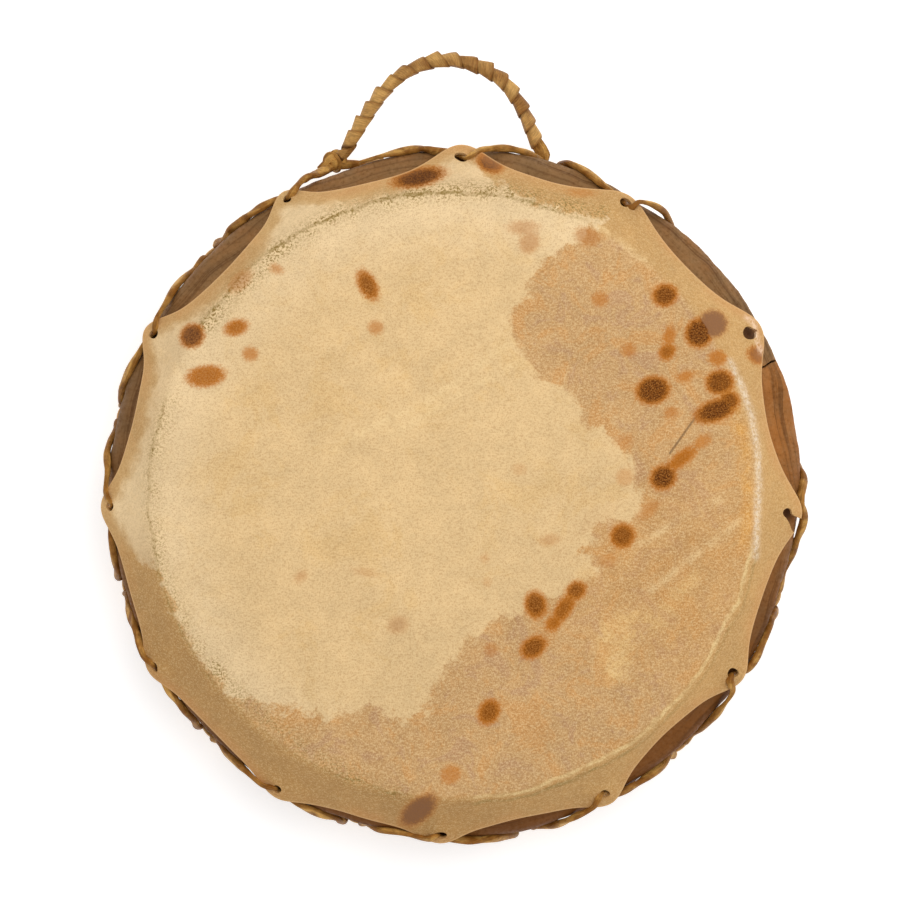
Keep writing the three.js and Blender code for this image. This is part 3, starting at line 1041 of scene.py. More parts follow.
def local_prism(tab, tabs, softness, outline, thickness):
    """A prism square to a tab at its hole. The outline is given anticlockwise and outward from the hole."""
    centre = polar(tab.angle, tab.hole_at, 0)[None, :2]
    normal = hide_normals(centre, tabs, softness)[0]
    round_way = polar(tab.angle + 90, 1.0, -MIDDLE)
    out_way = np.cross(round_way, normal)
    height = hide_height(centre, tabs, softness, ())[0] + MIDDLE
    middle = np.append(centre[0], height) - normal * thickness / 2
    flat = middle + outline[:, :1] * round_way + outline[:, 1:] * out_way
    reach = normal * (thickness + 3.5)
    return prism(flat + reach, flat - reach)


# The small tear beside the empty hole and the split from the torn one, in millimetres from the hole.
TEAR = np.array([(2.6, 1.6), (1.4, 3.2), (-0.6, 5.2), (-2.2, 2.2)])
SPLIT = np.array([
    (1.0, 1.0), (-1.0, 4.0), (-3.2, 12.0), (-12.5, 11.0), (-8.5, 4.5), (-4.8, 1.8), (-1.8, -1.4),
])


def spot_fields(xy):
    """For each point, how far it is inside the nearest spot, and that spot's darkness and greyness."""
    depth = np.full(len(xy), -3.0)
    darkness = np.zeros(len(xy))
    greyness = np.zeros(len(xy))
    for spot in SPOTS:
        turn = np.radians(spot.tilt)
        across = xy - (spot.x, spot.y)
        length = (across @ (np.cos(turn), np.sin(turn))) / spot.length
        width = (across @ (-np.sin(turn), np.cos(turn))) / spot.width
        inside = (1 - np.hypot(length, width)) * min(spot.length, spot.width)
        nearer = inside > depth
        depth = np.where(nearer, inside, depth)
        darkness = np.where(nearer, spot.darkness, darkness)
        greyness = np.where(nearer, spot.greyness, greyness)
    return depth, darkness, greyness


def hide_values(points, tabs):
    """What a head's material needs to know at each point."""
    xy = points[:, :2]
    radius = radii_of(points)
    depth, darkness, greyness = spot_fields(xy)

    def near(line, width):
        return bell(distance_to_line(xy, line), width)

    return {
        "pale_edge": distance_inside(xy, PALE_PATCH),
        "yellow_edge": distance_inside(xy, YELLOW_PATCH),
        "bleached": near(BLEACHED, 1.9),
        "gilded": near(GILDED, 3.4),
        "frayed_and_lit": near(FRAYED_LIT_RIDGE, 1.3),
        "brushed": np.exp(-(np.linalg.norm((xy - BRUSHED_AT) / BRUSHED_SIZE, axis=1)) ** 4),
        "yellowed": near(YELLOWED, 5.0),
        "greened": sum(share * near(line, 5.0) for share, line in zip(GRIME, GREENED)),
        "folds": sum(near(line, 1.8) for line in FOLDS),
        "spot_depth": depth,
        "spot_darkness": darkness,
        "spot_greyness": greyness,
        "past_crease": radius - RIM_R,
        "rim_shade": round_the_rim(angles_of(points), RIM_SHADE),
        "from_edge": edge_radius(angles_of(points), tabs) - radius,
    }


HideFields = namedtuple("HideFields", "place pale past_crease from_edge fibre coarse cloud patchy")


def hide_fields(graph):
    """What the steps of a hide's colour share: its place, the kind of hide, two distances and textures."""
    place = graph.place()
    return HideFields(
        place=place,
        pale=ragged_mask(graph, place, "pale_edge", 15.0, 2.0, 85.0),
        past_crease=graph.attribute("past_crease"),
        from_edge=graph.attribute("from_edge"),
        fibre=fibres(graph, place, 2000.0),
        coarse=fibres(graph, place, 820.0),
        cloud=mottle(graph, place, 24.0),
        patchy=mottle(graph, place, 110.0),
    )


def brushed_tan(graph, hide, color):
    """A yellower patch, brushed streaks, and ruddy and cooler mottles in the tan hide."""
    turned = graph.add("VectorRotate", {"Vector": hide.place, "Angle": BRUSH_TURN}, rotation_type="Z_AXIS")
    grain = graph.noise(graph.stretch(turned.outputs[0], (0.3, 1.0, 1.0)), 90.0, 6.0, 0.75, 0.4)
    yellow = ragged_mask(graph, hide.place, "yellow_edge", 8.0, 3.5, 120.0)
    yellow = graph.times(yellow, graph.remap(grain, 0.35, 0.6, 0.35, 0.85))
    color = graph.blend(yellow, color, paint(234, 196, 132))
    brushed = graph.attribute("brushed")
    streaks = graph.times(brushed, graph.remap(grain, 0.5, 0.68, 0.0, 0.4))
    color = graph.blend(streaks, color, paint(228, 184, 124))
    hollows = graph.times(brushed, graph.remap(grain, 0.48, 0.3, 0.0, 0.25))
    color = graph.blend(hollows, color, paint(178, 128, 82))
    ruddy = graph.noise(hide.place, 60.0, 4.0, 0.65, 0.8)
    tan_share = graph.less(1.0, hide.pale)
    warmer = graph.times(graph.remap(ruddy, 0.5, 0.62, 0.0, 0.6), tan_share)
    color = graph.blend(warmer, color, paint(208, 150, 86))
    cooler = graph.times(graph.remap(ruddy, 0.48, 0.36, 0.0, 0.62), tan_share)
    color = graph.blend(cooler, color, paint(186, 144, 108))
    glow = graph.times(graph.times(brushed, 0.4), tan_share)
    return graph.blend(glow, color, paint(204, 152, 88))


def clouded_pale(graph, hide, color):
    """Golden patches in the pale hide and a creamier band towards the rim, and painted shade that darkens the
    face a little towards -Y, away from the lamp.
    """
    golden = graph.noise(hide.place, 34.0, 4.0, 0.7, 0.6)
    golden = graph.times(graph.remap(golden, 0.5, 0.64, 0.0, 0.32), hide.pale)
    color = graph.blend(golden, color, paint(220, 178, 112))
    creamy = graph.times(graph.remap(hide.past_crease, -42.0, -6.0, 0.0, 0.36), hide.pale)
    color = graph.blend(creamy, color, paint(242, 220, 182))
    # painted shade: the face darkens a little towards -Y, away from the lamp
    up = graph.add("SeparateXYZ", {0: hide.place}).outputs["Y"]
    return graph.scaled(color, graph.remap(up, 0.06, -0.11, 1.0, 0.95))


def tanned_rim(graph, hide, color, settings):
    """The band along the cut edge: a flatter tan, darker on the side away from the lamp."""
    uneven_edge = graph.plus(hide.from_edge, graph.times(hide.patchy, 4.0))
    narrow = graph.remap(uneven_edge, 13.0, 6.0)
    band = graph.math("MAXIMUM", narrow, graph.less(1.0, hide.pale))
    band = graph.times(band, graph.remap(hide.past_crease, -3.0, 2.0))
    color = graph.blend(graph.times(band, 0.88), color, tuple(settings.rim))
    shade = graph.times(graph.attribute("rim_shade"), graph.remap(hide.past_crease, -2.0, 3.0))
    return graph.blend(shade, color, paint(142, 100, 50))


def worn_bend(graph, hide, color):
    """Grime, bleaching and fine lines where the hide turns over the rim, and the pale folds in the face."""
    wander = graph.times(graph.less(graph.noise(hide.place, 40.0, 3.0, 0.6), 0.5), 9.0)
    on_bend = graph.plus(hide.past_crease, wander)
    first_line = graph.remap(graph.math("ABSOLUTE", on_bend), 1.4, 0.3)
    second_line = graph.remap(graph.math("ABSOLUTE", graph.less(on_bend, 3.2)), 1.2, 0.2)
    speck = graph.remap(graph.noise(hide.place, 900.0, 3.0, 0.7), 0.46, 0.6)
    broken = graph.remap(hide.patchy, 0.2, 0.7, 0.45, 1.0)
    olive = graph.plus(graph.times(first_line, 0.8), graph.times(speck, 1.15))
    olive = graph.times(graph.times(olive, broken), graph.attribute("greened"), True)
    color = graph.blend(olive, color, paint(142, 116, 62))
    gilt = graph.times(graph.attribute("gilded"), graph.remap(hide.patchy, 0.0, 1.0, 0.4, 0.85))
    color = graph.blend(gilt, color, paint(216, 158, 80))
    along_bend = graph.times(graph.attribute("yellowed"), broken)
    yellow_line = graph.times(graph.times(first_line, 0.65), along_bend)
    color = graph.blend(yellow_line, color, paint(232, 204, 146))
    outer_line = graph.times(graph.times(second_line, 0.7), along_bend)
    color = graph.blend(outer_line, color, paint(140, 118, 66))
    rough = graph.remap(hide.coarse["Height"], 0.4, 0.6, 0.25, 1.0)
    worn = graph.times(graph.attribute("bleached"), rough, True)
    color = graph.blend(worn, color, paint(230, 210, 182))
    fold = graph.times(graph.attribute("folds"), graph.remap(hide.patchy, 0.0, 1.0, 0.1, 0.5), True)
    return graph.blend(fold, color, paint(240, 210, 156))


def flecked(graph, hide, color):
    """Cloudy and fibrous variation; the tan hide is the more speckled."""
    color = graph.shade(color, hide.cloud, 0.94, 1.045)
    color = graph.shade(color, hide.patchy, 0.96, 1.04)
    coarse_fleck = graph.times(graph.less(hide.coarse["Fleck"], 0.5), 0.6)
    color = graph.shade(color, graph.plus(0.5, coarse_fleck), 0.94, 1.05)
    speckled = graph.remap(hide.pale, 0.0, 1.0, 1.05, 0.78)
    speckled = graph.times(speckled, graph.remap(hide.past_crease, -4.0, 6.0, 1.0, 0.65))
    light = graph.times(graph.remap(hide.fibre["Fleck"], 0.5, 1.0, 0.0, 0.4), speckled)
    color = graph.blend(light, color, paint(238, 208, 158))
    dim = graph.times(graph.remap(hide.fibre["Fleck"], 0.5, 0.0, 0.0, 0.4), speckled)
    return graph.blend(dim, color, paint(152, 104, 60))


def scratched(graph, hide, color):
    """One fine, dark scratch."""
    distance = graph.beside_line(graph.stretch(hide.place, (1, 1, 0)), *DARK_LINE)
    scratch = graph.times(graph.remap(distance, 0.0009, 0.0002), 0.6)
    return graph.blend(scratch, color, paint(96, 70, 48))


def spotted(graph, hide, color, settings):
    """Spots with rusty fringes and dark, gritty middles, the greyer ones dusky, and the frayed white line:
    worn fibres with a painted highlight.
    """
    raggedness = graph.less(graph.noise(hide.place, 700.0, 4.0, 0.8), 0.5)
    depth = graph.plus(graph.attribute("spot_depth"), graph.times(raggedness, 5.5))
    gritty = graph.remap(graph.noise(hide.place, 1250.0, 2.0, 0.6), 0.36, 0.64)
    darkness = graph.attribute("spot_darkness")
    greyness = graph.attribute("spot_greyness")
    fringe = graph.times(graph.remap(depth, -2.0, 1.2), graph.remap(darkness, 0.0, 0.55, 0.15, 0.98))
    fringe = graph.times(fringe, graph.remap(greyness, 0.5, 1.0, 1.0, 0.4))
    fringe = graph.times(fringe, graph.remap(gritty, 0.0, 1.0, 1.0, 0.88))
    color = graph.blend(fringe, color, tuple(settings.rust))
    middle = graph.times(graph.remap(depth, -0.7, 2.8), graph.remap(darkness, 0.3, 0.88, 0.0, 1.0))
    middle = graph.times(middle, graph.remap(gritty, 0.0, 1.0, 1.0, 0.66))
    color = graph.blend(middle, color, tuple(settings.spot))
    specks = graph.remap(graph.noise(hide.place, 1500.0, 2.0, 0.6, 0.2), 0.52, 0.64, 0.0, 0.36)
    rusty = graph.times(fringe, graph.remap(greyness, 0.0, 0.6, 1.0, 0.2))
    color = graph.blend(graph.times(specks, rusty), color, paint(220, 152, 76))
    grey = graph.times(graph.remap(depth, -1.2, 2.6), greyness)
    grey = graph.times(grey, graph.remap(gritty, 0.0, 1.0, 0.9, 0.7))
    dusk = graph.blend(graph.remap(darkness, 0.85, 1.0), paint(150, 106, 72), paint(82, 54, 32))
    color = graph.blend(grey, color, dusk)
    rough = graph.remap(hide.coarse["Height"], 0.4, 0.55, 0.1, 1.0)
    # worn fibres and a painted highlight along the frayed ridge
    return graph.blend(graph.times(graph.attribute("frayed_and_lit"), rough), color, paint(244, 216, 184))


def cut_edges(graph, hide, color):
    """The hide reddens towards its edge, and the cut itself is pale."""
    near_edge = graph.times(graph.remap(hide.from_edge, 7.0, 0.5), hide.cloud)
    color = graph.blend(graph.times(near_edge, 0.4), color, paint(200, 138, 84))
    return graph.blend(graph.remap(hide.from_edge, 0.9, 0.1, 0.0, 0.5), color, paint(218, 174, 120))


def hide_material(name, settings, marked):
    """Dry rawhide: fibres and flecks over cloudy colour, with stains, spots and a worn crease."""
    material, graph, shader = new_material(name)
    hide = hide_fields(graph)
    color = graph.blend(hide.pale, tuple(settings.tan), tuple(settings.pale))
    if marked:
        color = brushed_tan(graph, hide, color)
    color = clouded_pale(graph, hide, color)
    color = tanned_rim(graph, hide, color, settings)
    color = worn_bend(graph, hide, color)
    color = flecked(graph, hide, color)
    if marked:
        color = scratched(graph, hide, color)
        color = spotted(graph, hide, color, settings)
    color = cut_edges(graph, hide, color)
    roughness = graph.remap(hide.fibre["Height"], 0.3, 0.7, 0.5, 0.7)
    relief = graph.plus(hide.fibre["Height"], graph.times(hide.coarse["Height"], 1.2))
    dress(graph, shader, color, roughness, 0.07, relief, 0.3, 0.0003)
    return material


def stretch_hide(name, tabs, settings, folds, tears):
    """A head's mesh, face up, with its holes punched."""
    thickness = settings.thickness / MM
    softness = settings.crease_softness / MM
    rings = head_rings(tabs, thickness, softness, folds)
    hide = make_object(name, np.vstack(rings), join_rings(rings))
    cut_away(hide, [hole_cutter(tab, tabs, softness, thickness) for tab in tabs])
    if tears:
        cut_away(hide, [local_prism(tabs[i], tabs, softness, outline, thickness) for i, outline in tears])
    paint_values(hide, hide_values(points_of(hide), tabs))
    return hide


class DRUM_OT_stretch_front_hide(bpy.types.Operator):
    """Stretch the playing head over the log and punch its twelve tabs"""

    bl_idname = "drum.stretch_front_hide"
    bl_label = "Stretch front hide"

    def execute(self, context):
        settings = context.scene.drum_hide
        tears = ((SLIPPED, TEAR), (TORN, SPLIT))
        hide = stretch_hide("front_hide", FRONT_TABS, settings, FOLDS, tears)
        finish_piece(hide, hide_material("Front rawhide", settings, marked=True), "front_head")
        return {"FINISHED"}


class DRUM_OT_stretch_back_hide(bpy.types.Operator):
    """Stretch the plainer back head over the other rim"""

    bl_idname = "drum.stretch_back_hide"
    bl_label = "Stretch back hide"

    def execute(self, context):
        settings = context.scene.drum_hide
        hide = stretch_hide("back_hide", BACK_TABS, settings, (), ())
        turned_over = points_of(hide)
        turned_over[:, 2] = DEPTH - turned_over[:, 2]
        hide.data.vertices.foreach_set("co", (turned_over * MM).ravel())
        hide.data.flip_normals()
        hide.data.update()
        finish_piece(hide, hide_material("Back rawhide", settings, marked=False), "back_head")
        return {"FINISHED"}


# ---- the lacing ----

# The thong's way through a tab: degrees past its hole, distance from the axis and height. It comes along the
# log's shoulder, under the tab, out through the hole, over the tab's flank and along the shoulder again.
UP_TO_TAB = (
    (-12.8, 175.4, -9.0), (-10.8, 176.4, 1.0), (-8.4, 175.6, 9.8), (-4.6, 173.2, 16.6), (-1.8, 171.8, 18.4),
)
THROUGH_HOLE = ((-0.5, 169.6, 20.4), (0.0, 168.6, 24.0), (0.8, 169.9, 26.0))
DOWN_FROM_TAB = (
    (2.5, 171.2, 24.2), (6.0, 173.0, 17.4), (8.6, 175.6, 10.2), (10.8, 176.4, 0.5), (12.6, 175.4, -9.0),
)

# At the back tabs it turns sharply and comes up again. Their heights are measured downward.
UP_TO_BACK_TAB = ((-1.2, 175.3, 15.4), (-0.9, 173.8, 18.2))
DOWN_FROM_BACK_TAB = ((1.7, 173.6, 25.0), (1.9, 176.2, 20.0))
HOLE_REFERENCE_R = 168.7  # where a hole is that these points were chosen for
SQUEEZED_AT = 22.5  # the height over or under the middle where a hole squeezes the thong
MOST_LEAN = 34  # degrees by which the thong's flat side may lean
HOLE_CLEARANCE = 0.9  # how far short of a hole's side the middle of the thong stays

# Where a stretch differs from the rest: it crosses a tab's tip, lies further in or goes to the handle.
OVER_FIRST_TIP = (
    (1.5, 170.4, 24.4), (2.8, 172.7, 21.6), (4.8, 174.6, 16.6), (7.6, 176.0, 9.6), (11, 176.3, 0),
)
OVER_SECOND_TIP = (
    (1.7, 174.0, 24.0), (2.8, 176.4, 20.4), (4.6, 177.8, 14.0), (6.4, 177.4, 4.0), (8.2, 175.4, -9.0),
)
FURTHER_IN = (
    (2.6, 171.8, 22.2), (6.6, 170.5, 19.8), (9.2, 171.0, 18.6), (11.2, 174.4, 8.6), (12.8, 175.0, -6),
)
TO_HANDLE = (
    (1.9, 171.4, 25.4), (3.6, 174.4, 20.4), (6.4, 177.8, 7.6), (9.6, 180.0, -7.0), (12.2, 178.0, -13.2),
)
DOWN_SPECIAL = {0: OVER_FIRST_TIP, 1: OVER_SECOND_TIP, 6: FURTHER_IN, 11: TO_HANDLE}

# The whole way past the torn tab, outside it.
TORN_WAY = (
    (-8.8, 173.8, -12.0), (-7.0, 175.5, -4.0), (-5.2, 176.2, 6.0), (-2.8, 174.3, 14.4), (-0.8, 175.6, 14.2),
    (0.8, 177.2, 11.0), (2.8, 177.2, 7.0), (4.9, 176.4, 1.5), (7.3, 176.0, -6.0), (9.6, 175.0, -11.0),
)

# Beside the slipped tab the thong lies low on the log's far shoulder. These heights are downward too.
LOW_UP = ((-3.6, 171.8, 19.4), (-1.0, 172.4, 18.4))
LOW_DOWN = ((1.7, 173.4, 25.2), (2.6, 174.4, 21.4), (4.4, 172.6, 18.4))
SLACK_SHARES = (0.3, 0.5, 0.7)
SLACK_STOP = (171.4, -20.0)

# The loose end, as angle, distance from the axis and height.
LOOSE_START = ((105.6, 174.9, 12.6), (102.6, 175.2, 11.0), (99.2, 175.6, 9.6), (95.4, 175.8, 9.2))


def tab_route(tabs, index, side):
    """The thong's points at one tab, as angle, radius and height."""
    tab = tabs[index]
    low = index in (SLIPPED - 1, SLIPPED)
    if side < 0:
        before, after = (LOW_UP, LOW_DOWN) if low else (UP_TO_BACK_TAB, DOWN_FROM_BACK_TAB)
    else:
        before, after = UP_TO_TAB, DOWN_SPECIAL.get(index, DOWN_FROM_TAB)
    if side > 0 and index == TORN:
        way = TORN_WAY
    else:
        shift = tab.hole_at - HOLE_REFERENCE_R
        # the thong pulls against the far side of its hole
        grip = np.degrees((tab.hole[0] - HOLE_CLEARANCE) / tab.hole_at)
        through = [(past + grip, r + shift, h - 0.6 * shift) for past, r, h in THROUGH_HOLE]
        if after is DOWN_FROM_TAB and shift > 0:
            past, r, h = after[0]
            after = ((past, r + shift, h - 0.9 * shift), *after[1:])
        way = (*before, *through, *after)
    return [(tab.angle - past, r, side * h) for past, r, h in way]


def lacing_route(settings):
    """The whole thong: front tab, back tab and so on, clockwise, passing the tab it has slipped out of."""
    route = list(LOOSE_START)
    for index in range(len(FRONT_TABS)):
        if index == SLIPPED:
            start = BACK_TABS[index - 1].angle
            run = BACK_TABS[index].angle - start
            route += [(start + run * share, *SLACK_STOP) for share in SLACK_SHARES]
        else:
            route += tab_route(FRONT_TABS, index, 1)
        route += tab_route(BACK_TABS, index, -1)
    stops = [polar(*stop) for stop in onward(route)]
    return [stop + outward(stop) * log_swell(stop[None], settings) for stop in stops]


def onward(route):
    """The stops without those that would turn the thong back on itself."""
    kept = []
    for stop in route:
        if not kept or stop[0] < kept[-1][0] - 0.05:
            kept.append(stop)
    return kept


def thong_material(name, light, dark, tint_and_shade_turns):
    """Dry twisted rawhide: lengthwise striations, darker edges and dull, waxy light, and for the handle's
    binding painted shade under each turn's edge.
    """
    material, graph, shader = new_material(name)
    along = graph.times(graph.attribute("along"), 0.02)
    across = graph.times(graph.attribute("across"), 0.9)
    place = graph.place()
    strip = graph.add("CombineXYZ", {"X": along, "Y": across}).outputs[0]
    striation = graph.noise(strip, 9.0, 4.0, 0.7, 0.3)
    fibre = fibres(graph, place, 700.0)
    tone = graph.plus(graph.times(mottle(graph, place, 95.0), 0.6), graph.times(striation, 0.4))
    if tint_and_shade_turns:
        tone = graph.plus(graph.times(tone, 0.5), graph.attribute("tone"))
    color = graph.blend(graph.remap(tone, 0.15, 0.95), dark, light)
    sides = graph.remap(graph.math("ABSOLUTE", graph.attribute("across")), 0.6, 1.0, 0.0, 0.7)
    color = graph.blend(sides, color, dark)
    if tint_and_shade_turns:
        # painted shade under the lower edge of each turn of the binding
        shade_under_turn = graph.remap(graph.attribute("across"), -0.35, -1.0, 0.0, 0.8)
        color = graph.blend(shade_under_turn, color, paint(82, 48, 20))
    color = graph.shade(color, graph.remap(striation, 0.35, 0.65), 0.74, 1.16)
    color = graph.shade(color, fibre["Fleck"], 0.92, 1.06)
    relief = graph.plus(graph.times(striation, 1.4), fibre["Height"])
    roughness = graph.remap(striation, 0.3, 0.7, 0.38, 0.58)
    dress(graph, shader, color, roughness, 0.12, relief, 0.4, 0.0005)
    return material


class DRUM_OT_thread_lacing(bpy.types.Operator):
    """Thread one long thong through the tabs of both heads"""

    bl_idname = "drum.thread_lacing"
    bl_label = "Thread lacing"

    def execute(self, context):
        settings = context.scene.drum_lacing
        path, along = smooth_path(lacing_route(context.scene.drum_log), 1.0)
        tangents, outs = settled_frames(path, along, outward(path))
        sides = np.cross(tangents, outs)
        lean = np.radians(MOST_LEAN) * ripple(along[:, None], 48, seed=21)[:, None]
        outs = outs * np.cos(lean) + sides * np.sin(lean)
        uneven = 1 + 0.1 * ripple(along[:, None], 20, seed=22)
        squeeze = 1 - 0.34 * bell(np.abs(path[:, 2] - MIDDLE) - SQUEEZED_AT, 4.5)
        taper = smoothstep(0, 26, along) * 0.62 + 0.38
        widths = settings.width / MM * uneven * squeeze * taper
        thicknesses = settings.thickness / MM * (2 - uneven) * squeeze * taper
        rings, across = sweep(path, tangents, outs, widths, thicknesses, squareness=0.72)
        lacing = make_object("rawhide_lacing", np.vstack(rings), join_rings(rings))
        spread = for_each_point(along, len(rings[1]))
        paint_values(lacing, {"along": spread, "across": across})
        material = thong_material("Lacing rawhide", tuple(settings.gold), tuple(settings.edge), False)
        finish_piece(lacing, material, "lacing", sharp=60)
        return {"FINISHED"}


# ---- the handle ----

# The handle's middle line, from the left knot to the right foot, in millimetres over the floor.
HANDLE_ROUTE = (
    (-60.2, 169.4, 32.0), (-55.5, 173.6, 33.5), (-50.0, 182.0, 35.0), (-42.4, 194.0, 36.5),
    (-34.0, 205.6, 37.0), (-21.0, 215.8, 37.5), (-2.0, 220.4, 37.0), (12.0, 217.6, 36.0),
    (26.5, 209.0, 34.5), (36.0, 195.0, 32.5), (42.0, 181.0, 29.5), (46.4, 172.6, 25.5),
)
ARCH_CENTRE = np.array([-4.0, 176.0, 35.0])
CORE_R = 1.75  # the handle's thong inside the binding
STRIP_THICKNESS = 0.95
BOUND_SHARE = (0.03, 0.955)  # the stretch of the handle that is bound
TURN_STEPS = 30  # rings of the strip to one turn
STRIP_POINTS = 18  # points to one ring
FACETS = 5  # flat sides that the binding seems to have
WOUND_R = 4  # the radius that the strip's length is counted at for its grain


def away_from_arch(path):
    """Directions away from the middle of the handle's arch."""
    return unit(path - ARCH_CENTRE)


def binding_rings(settings):
    """The rings of the strip that winds round the handle, with each ring's turn count and strip places."""
    path, along = smooth_path(HANDLE_ROUTE, 0.5)
    tangents, outs = carried_frames(path, away_from_arch(path)[0])
    sides = np.cross(tangents, outs)
    start, end = (share * along[-1] for share in BOUND_SHARE)
    pitch = (end - start) / settings.turns
    width = settings.strip_width / MM
    rng = np.random.default_rng(31)
    flares = rng.uniform(0.75, 1.3, settings.turns + 2)
    phases = np.cumsum(rng.uniform(-0.9, 0.9, settings.turns + 2))
    tilts = rng.uniform(-0.9, 0.9, settings.turns + 2)
    tones = rng.uniform(-0.12, 0.76, settings.turns + 2)
    across, through = strip_section(STRIP_POINTS, 0.5)
    half_facet = np.pi / FACETS
    rings = []
    tone = []
    turn_marks = np.arange(settings.turns + 2)
    for turns in np.linspace(0, settings.turns, settings.turns * TURN_STEPS + 1):
        flare = np.interp(turns, turn_marks, flares) * settings.flare / MM
        phase = np.interp(turns, turn_marks, phases)
        tilt = np.interp(turns, turn_marks, tilts)
        turn = 2 * np.pi * turns
        outer_side = 0.5 + 0.5 * np.cos(turn)
        corner = (turn + phase) % (2 * half_facet) - half_facet
        faceted = 0.5 + 0.5 * np.cos(half_facet) / np.cos(corner)
        tuck = 0.25 + 0.75 * smoothstep(0, 0.5, min(turns, settings.turns - turns))
        rise = flare * (0.5 + 0.75 * outer_side) * tuck
        inner = CORE_R + 0.15 + rise * (across * 0.5 + 0.5) ** 1.3
        radius = (inner + STRIP_THICKNESS * (0.5 + 0.5 * through)) * faceted * 1.06
        at = start + pitch * turns + across * width / 2 * tuck + tilt * np.cos(turn - phase)
        at = np.clip(at, 0, along[-1])
        out = read_off(at, along, outs)
        side = read_off(at, along, sides)
        direction = out * np.cos(turn) + side * np.sin(turn)
        rings.append(read_off(at, along, path) + direction * radius[:, None])
        tone.append(np.interp(turns, turn_marks, tones))
    return rings, np.array(tone), across


def strap(points, first_out, widths, thickness, count=12):
    """A short strip along a few points, its width running through the given values."""
    path, along = smooth_path(points, 0.7)
    tangents, outs = carried_frames(path, np.asarray(first_out, float))
    share = along / along[-1]
    width = np.interp(share, np.linspace(0, 1, len(widths)), widths)
    uneven = 1 + 0.06 * ripple(along[:, None], 11, seed=41)
    rings, across = sweep(path, tangents, outs, width * uneven, np.full(len(path), thickness), count)
    spread = for_each_point(along, count)
    return np.vstack(rings), join_rings(rings), spread, across


def hitch(centre, axis, start_out, radius, turns, advance, width, thickness):
    """A strap wound a few turns round a strand."""
    axis = unit(np.asarray(axis, float))
    start_out = np.asarray(start_out, float)
    out = unit(start_out - axis * (start_out @ axis))
    side = np.cross(axis, out)
    turn = np.linspace(0, 2 * np.pi * turns, int(turns * 10) + 1)
    shift = np.linspace(-0.5, 0.5, len(turn)) * advance
    points = [
        centre + radius * (out * np.cos(t) + side * np.sin(t)) + axis * s
        for t, s in zip(turn, shift)
    ]
    return strap(points, out, (width, width), thickness)


def core_parts():
    """The bent thong inside the handle and the hitches that hold it to the lacing."""
    route = np.array(HANDLE_ROUTE)
    left_knot = polar(109.6, 179.9, -7.5)
    right_knot = polar(75.2, 176.6, -15.5)
    left_strand = polar(108.0, 179.0, -11.0) - polar(112.0, 178.9, 0.0)
    right_strand = polar(74.0, 174.0, -19.0) - polar(77.5, 176.2, -8.0)
    up = (0, 0, 1)
    core = strap([left_knot, *route[1:-1], route[-1]], away_from_arch(route)[0], (3.8, 3.8), 3.8)
    foot = [
        route[-3] + (0.6, 0.3, 0),
        route[-2],
        route[-1] + (0.4, 0, 0),
        right_knot + (0.8, 1.4, 1),
        right_knot,
    ]
    steps = ((1.5, 1.5, 2.5), (-1.5, 1.5, 3.6), (-4.5, -1.5, 3.4), (-7.5, -4.2, 2.6))
    tail = [left_knot + step for step in steps]
    return (
        core,
        strap(foot, up, (3.6, 4.2, 5.6, 7.4, 6.0), 1.8),
        hitch(left_knot, left_strand, up, 3.7, 2.1, 6.5, 4.6, 1.6),
        hitch(right_knot, right_strand, up, 3.4, 1.6, 5.0, 4.6, 1.6),
        strap(tail, up, (4.4, 4.0, 3.2), 1.5),
    )


def joined(parts):
    """Several straps as one mesh, with their places along and across."""
    faces = []
    count = 0
    for points, part_faces, _, _ in parts:
        faces += [[corner + count for corner in face] for face in part_faces]
        count += len(points)
    points, _, along, across = zip(*parts)
    return np.vstack(points), faces, np.concatenate(along), np.concatenate(across)


class DRUM_OT_bind_handle(bpy.types.Operator):
    """Bend the handle's thong, hitch it to the lacing and bind it with a flat strip"""

    bl_idname = "drum.bind_handle"
    bl_label = "Bind handle"

    def execute(self, context):
        settings = context.scene.drum_handle
        lacing = context.scene.drum_lacing
        points, faces, along, across = joined(core_parts())
        thong = make_object("handle_thong", points, faces)
        paint_values(thong, {"along": along, "across": across})
        material = thong_material("Handle thong rawhide", tuple(lacing.gold), tuple(lacing.edge), False)
        finish_piece(thong, material, "handle_core", sharp=60)

        rings, tone, section = binding_rings(settings)
        closed = [rings[0].mean(0, keepdims=True), *rings, rings[-1].mean(0, keepdims=True)]
        binding = make_object("handle_binding", np.vstack(closed), join_rings(closed))
        length = np.arange(len(rings)) * 2 * np.pi * WOUND_R / TURN_STEPS
        values = {
            "along": for_each_point(length, STRIP_POINTS),
            "across": np.concatenate([[0], np.tile(section, len(rings)), [0]]),
            "tone": np.concatenate([[0], np.repeat(tone, STRIP_POINTS), [0]]),
        }
        paint_values(binding, values)
        material = thong_material("Handle binding rawhide", tuple(settings.light), tuple(settings.dark), True)
        finish_piece(binding, material, "handle_wrap", sharp=35)
        return {"FINISHED"}


# ---- the stage ----

CAMERA_AT = (-1.26, 22.5)  # over the middle of the drum and its handle, in millimetres
CAMERA_LENS = 123.0
FLOOR_REACH = 3000.0  # from the middle of the floor to its sides, in millimetres
LAMP_AT = (0.45, 0.6, 1.75)  # in metres, like the lamp's size
LAMP_SIZE = 1.8
WHITE = (1.0, 1.0, 1.0, 1.0)


def floor_material(color, glow):
    material, _, shader = new_material("Pale floor")
    shader.inputs["Base Color"].default_value = opaque(color)
    shader.inputs["Roughness"].default_value = 0.9
    shader.inputs["Specular IOR Level"].default_value = 0.0
    shader.inputs["Emission Color"].default_value = WHITE
    shader.inputs["Emission Strength"].default_value = glow
    return material


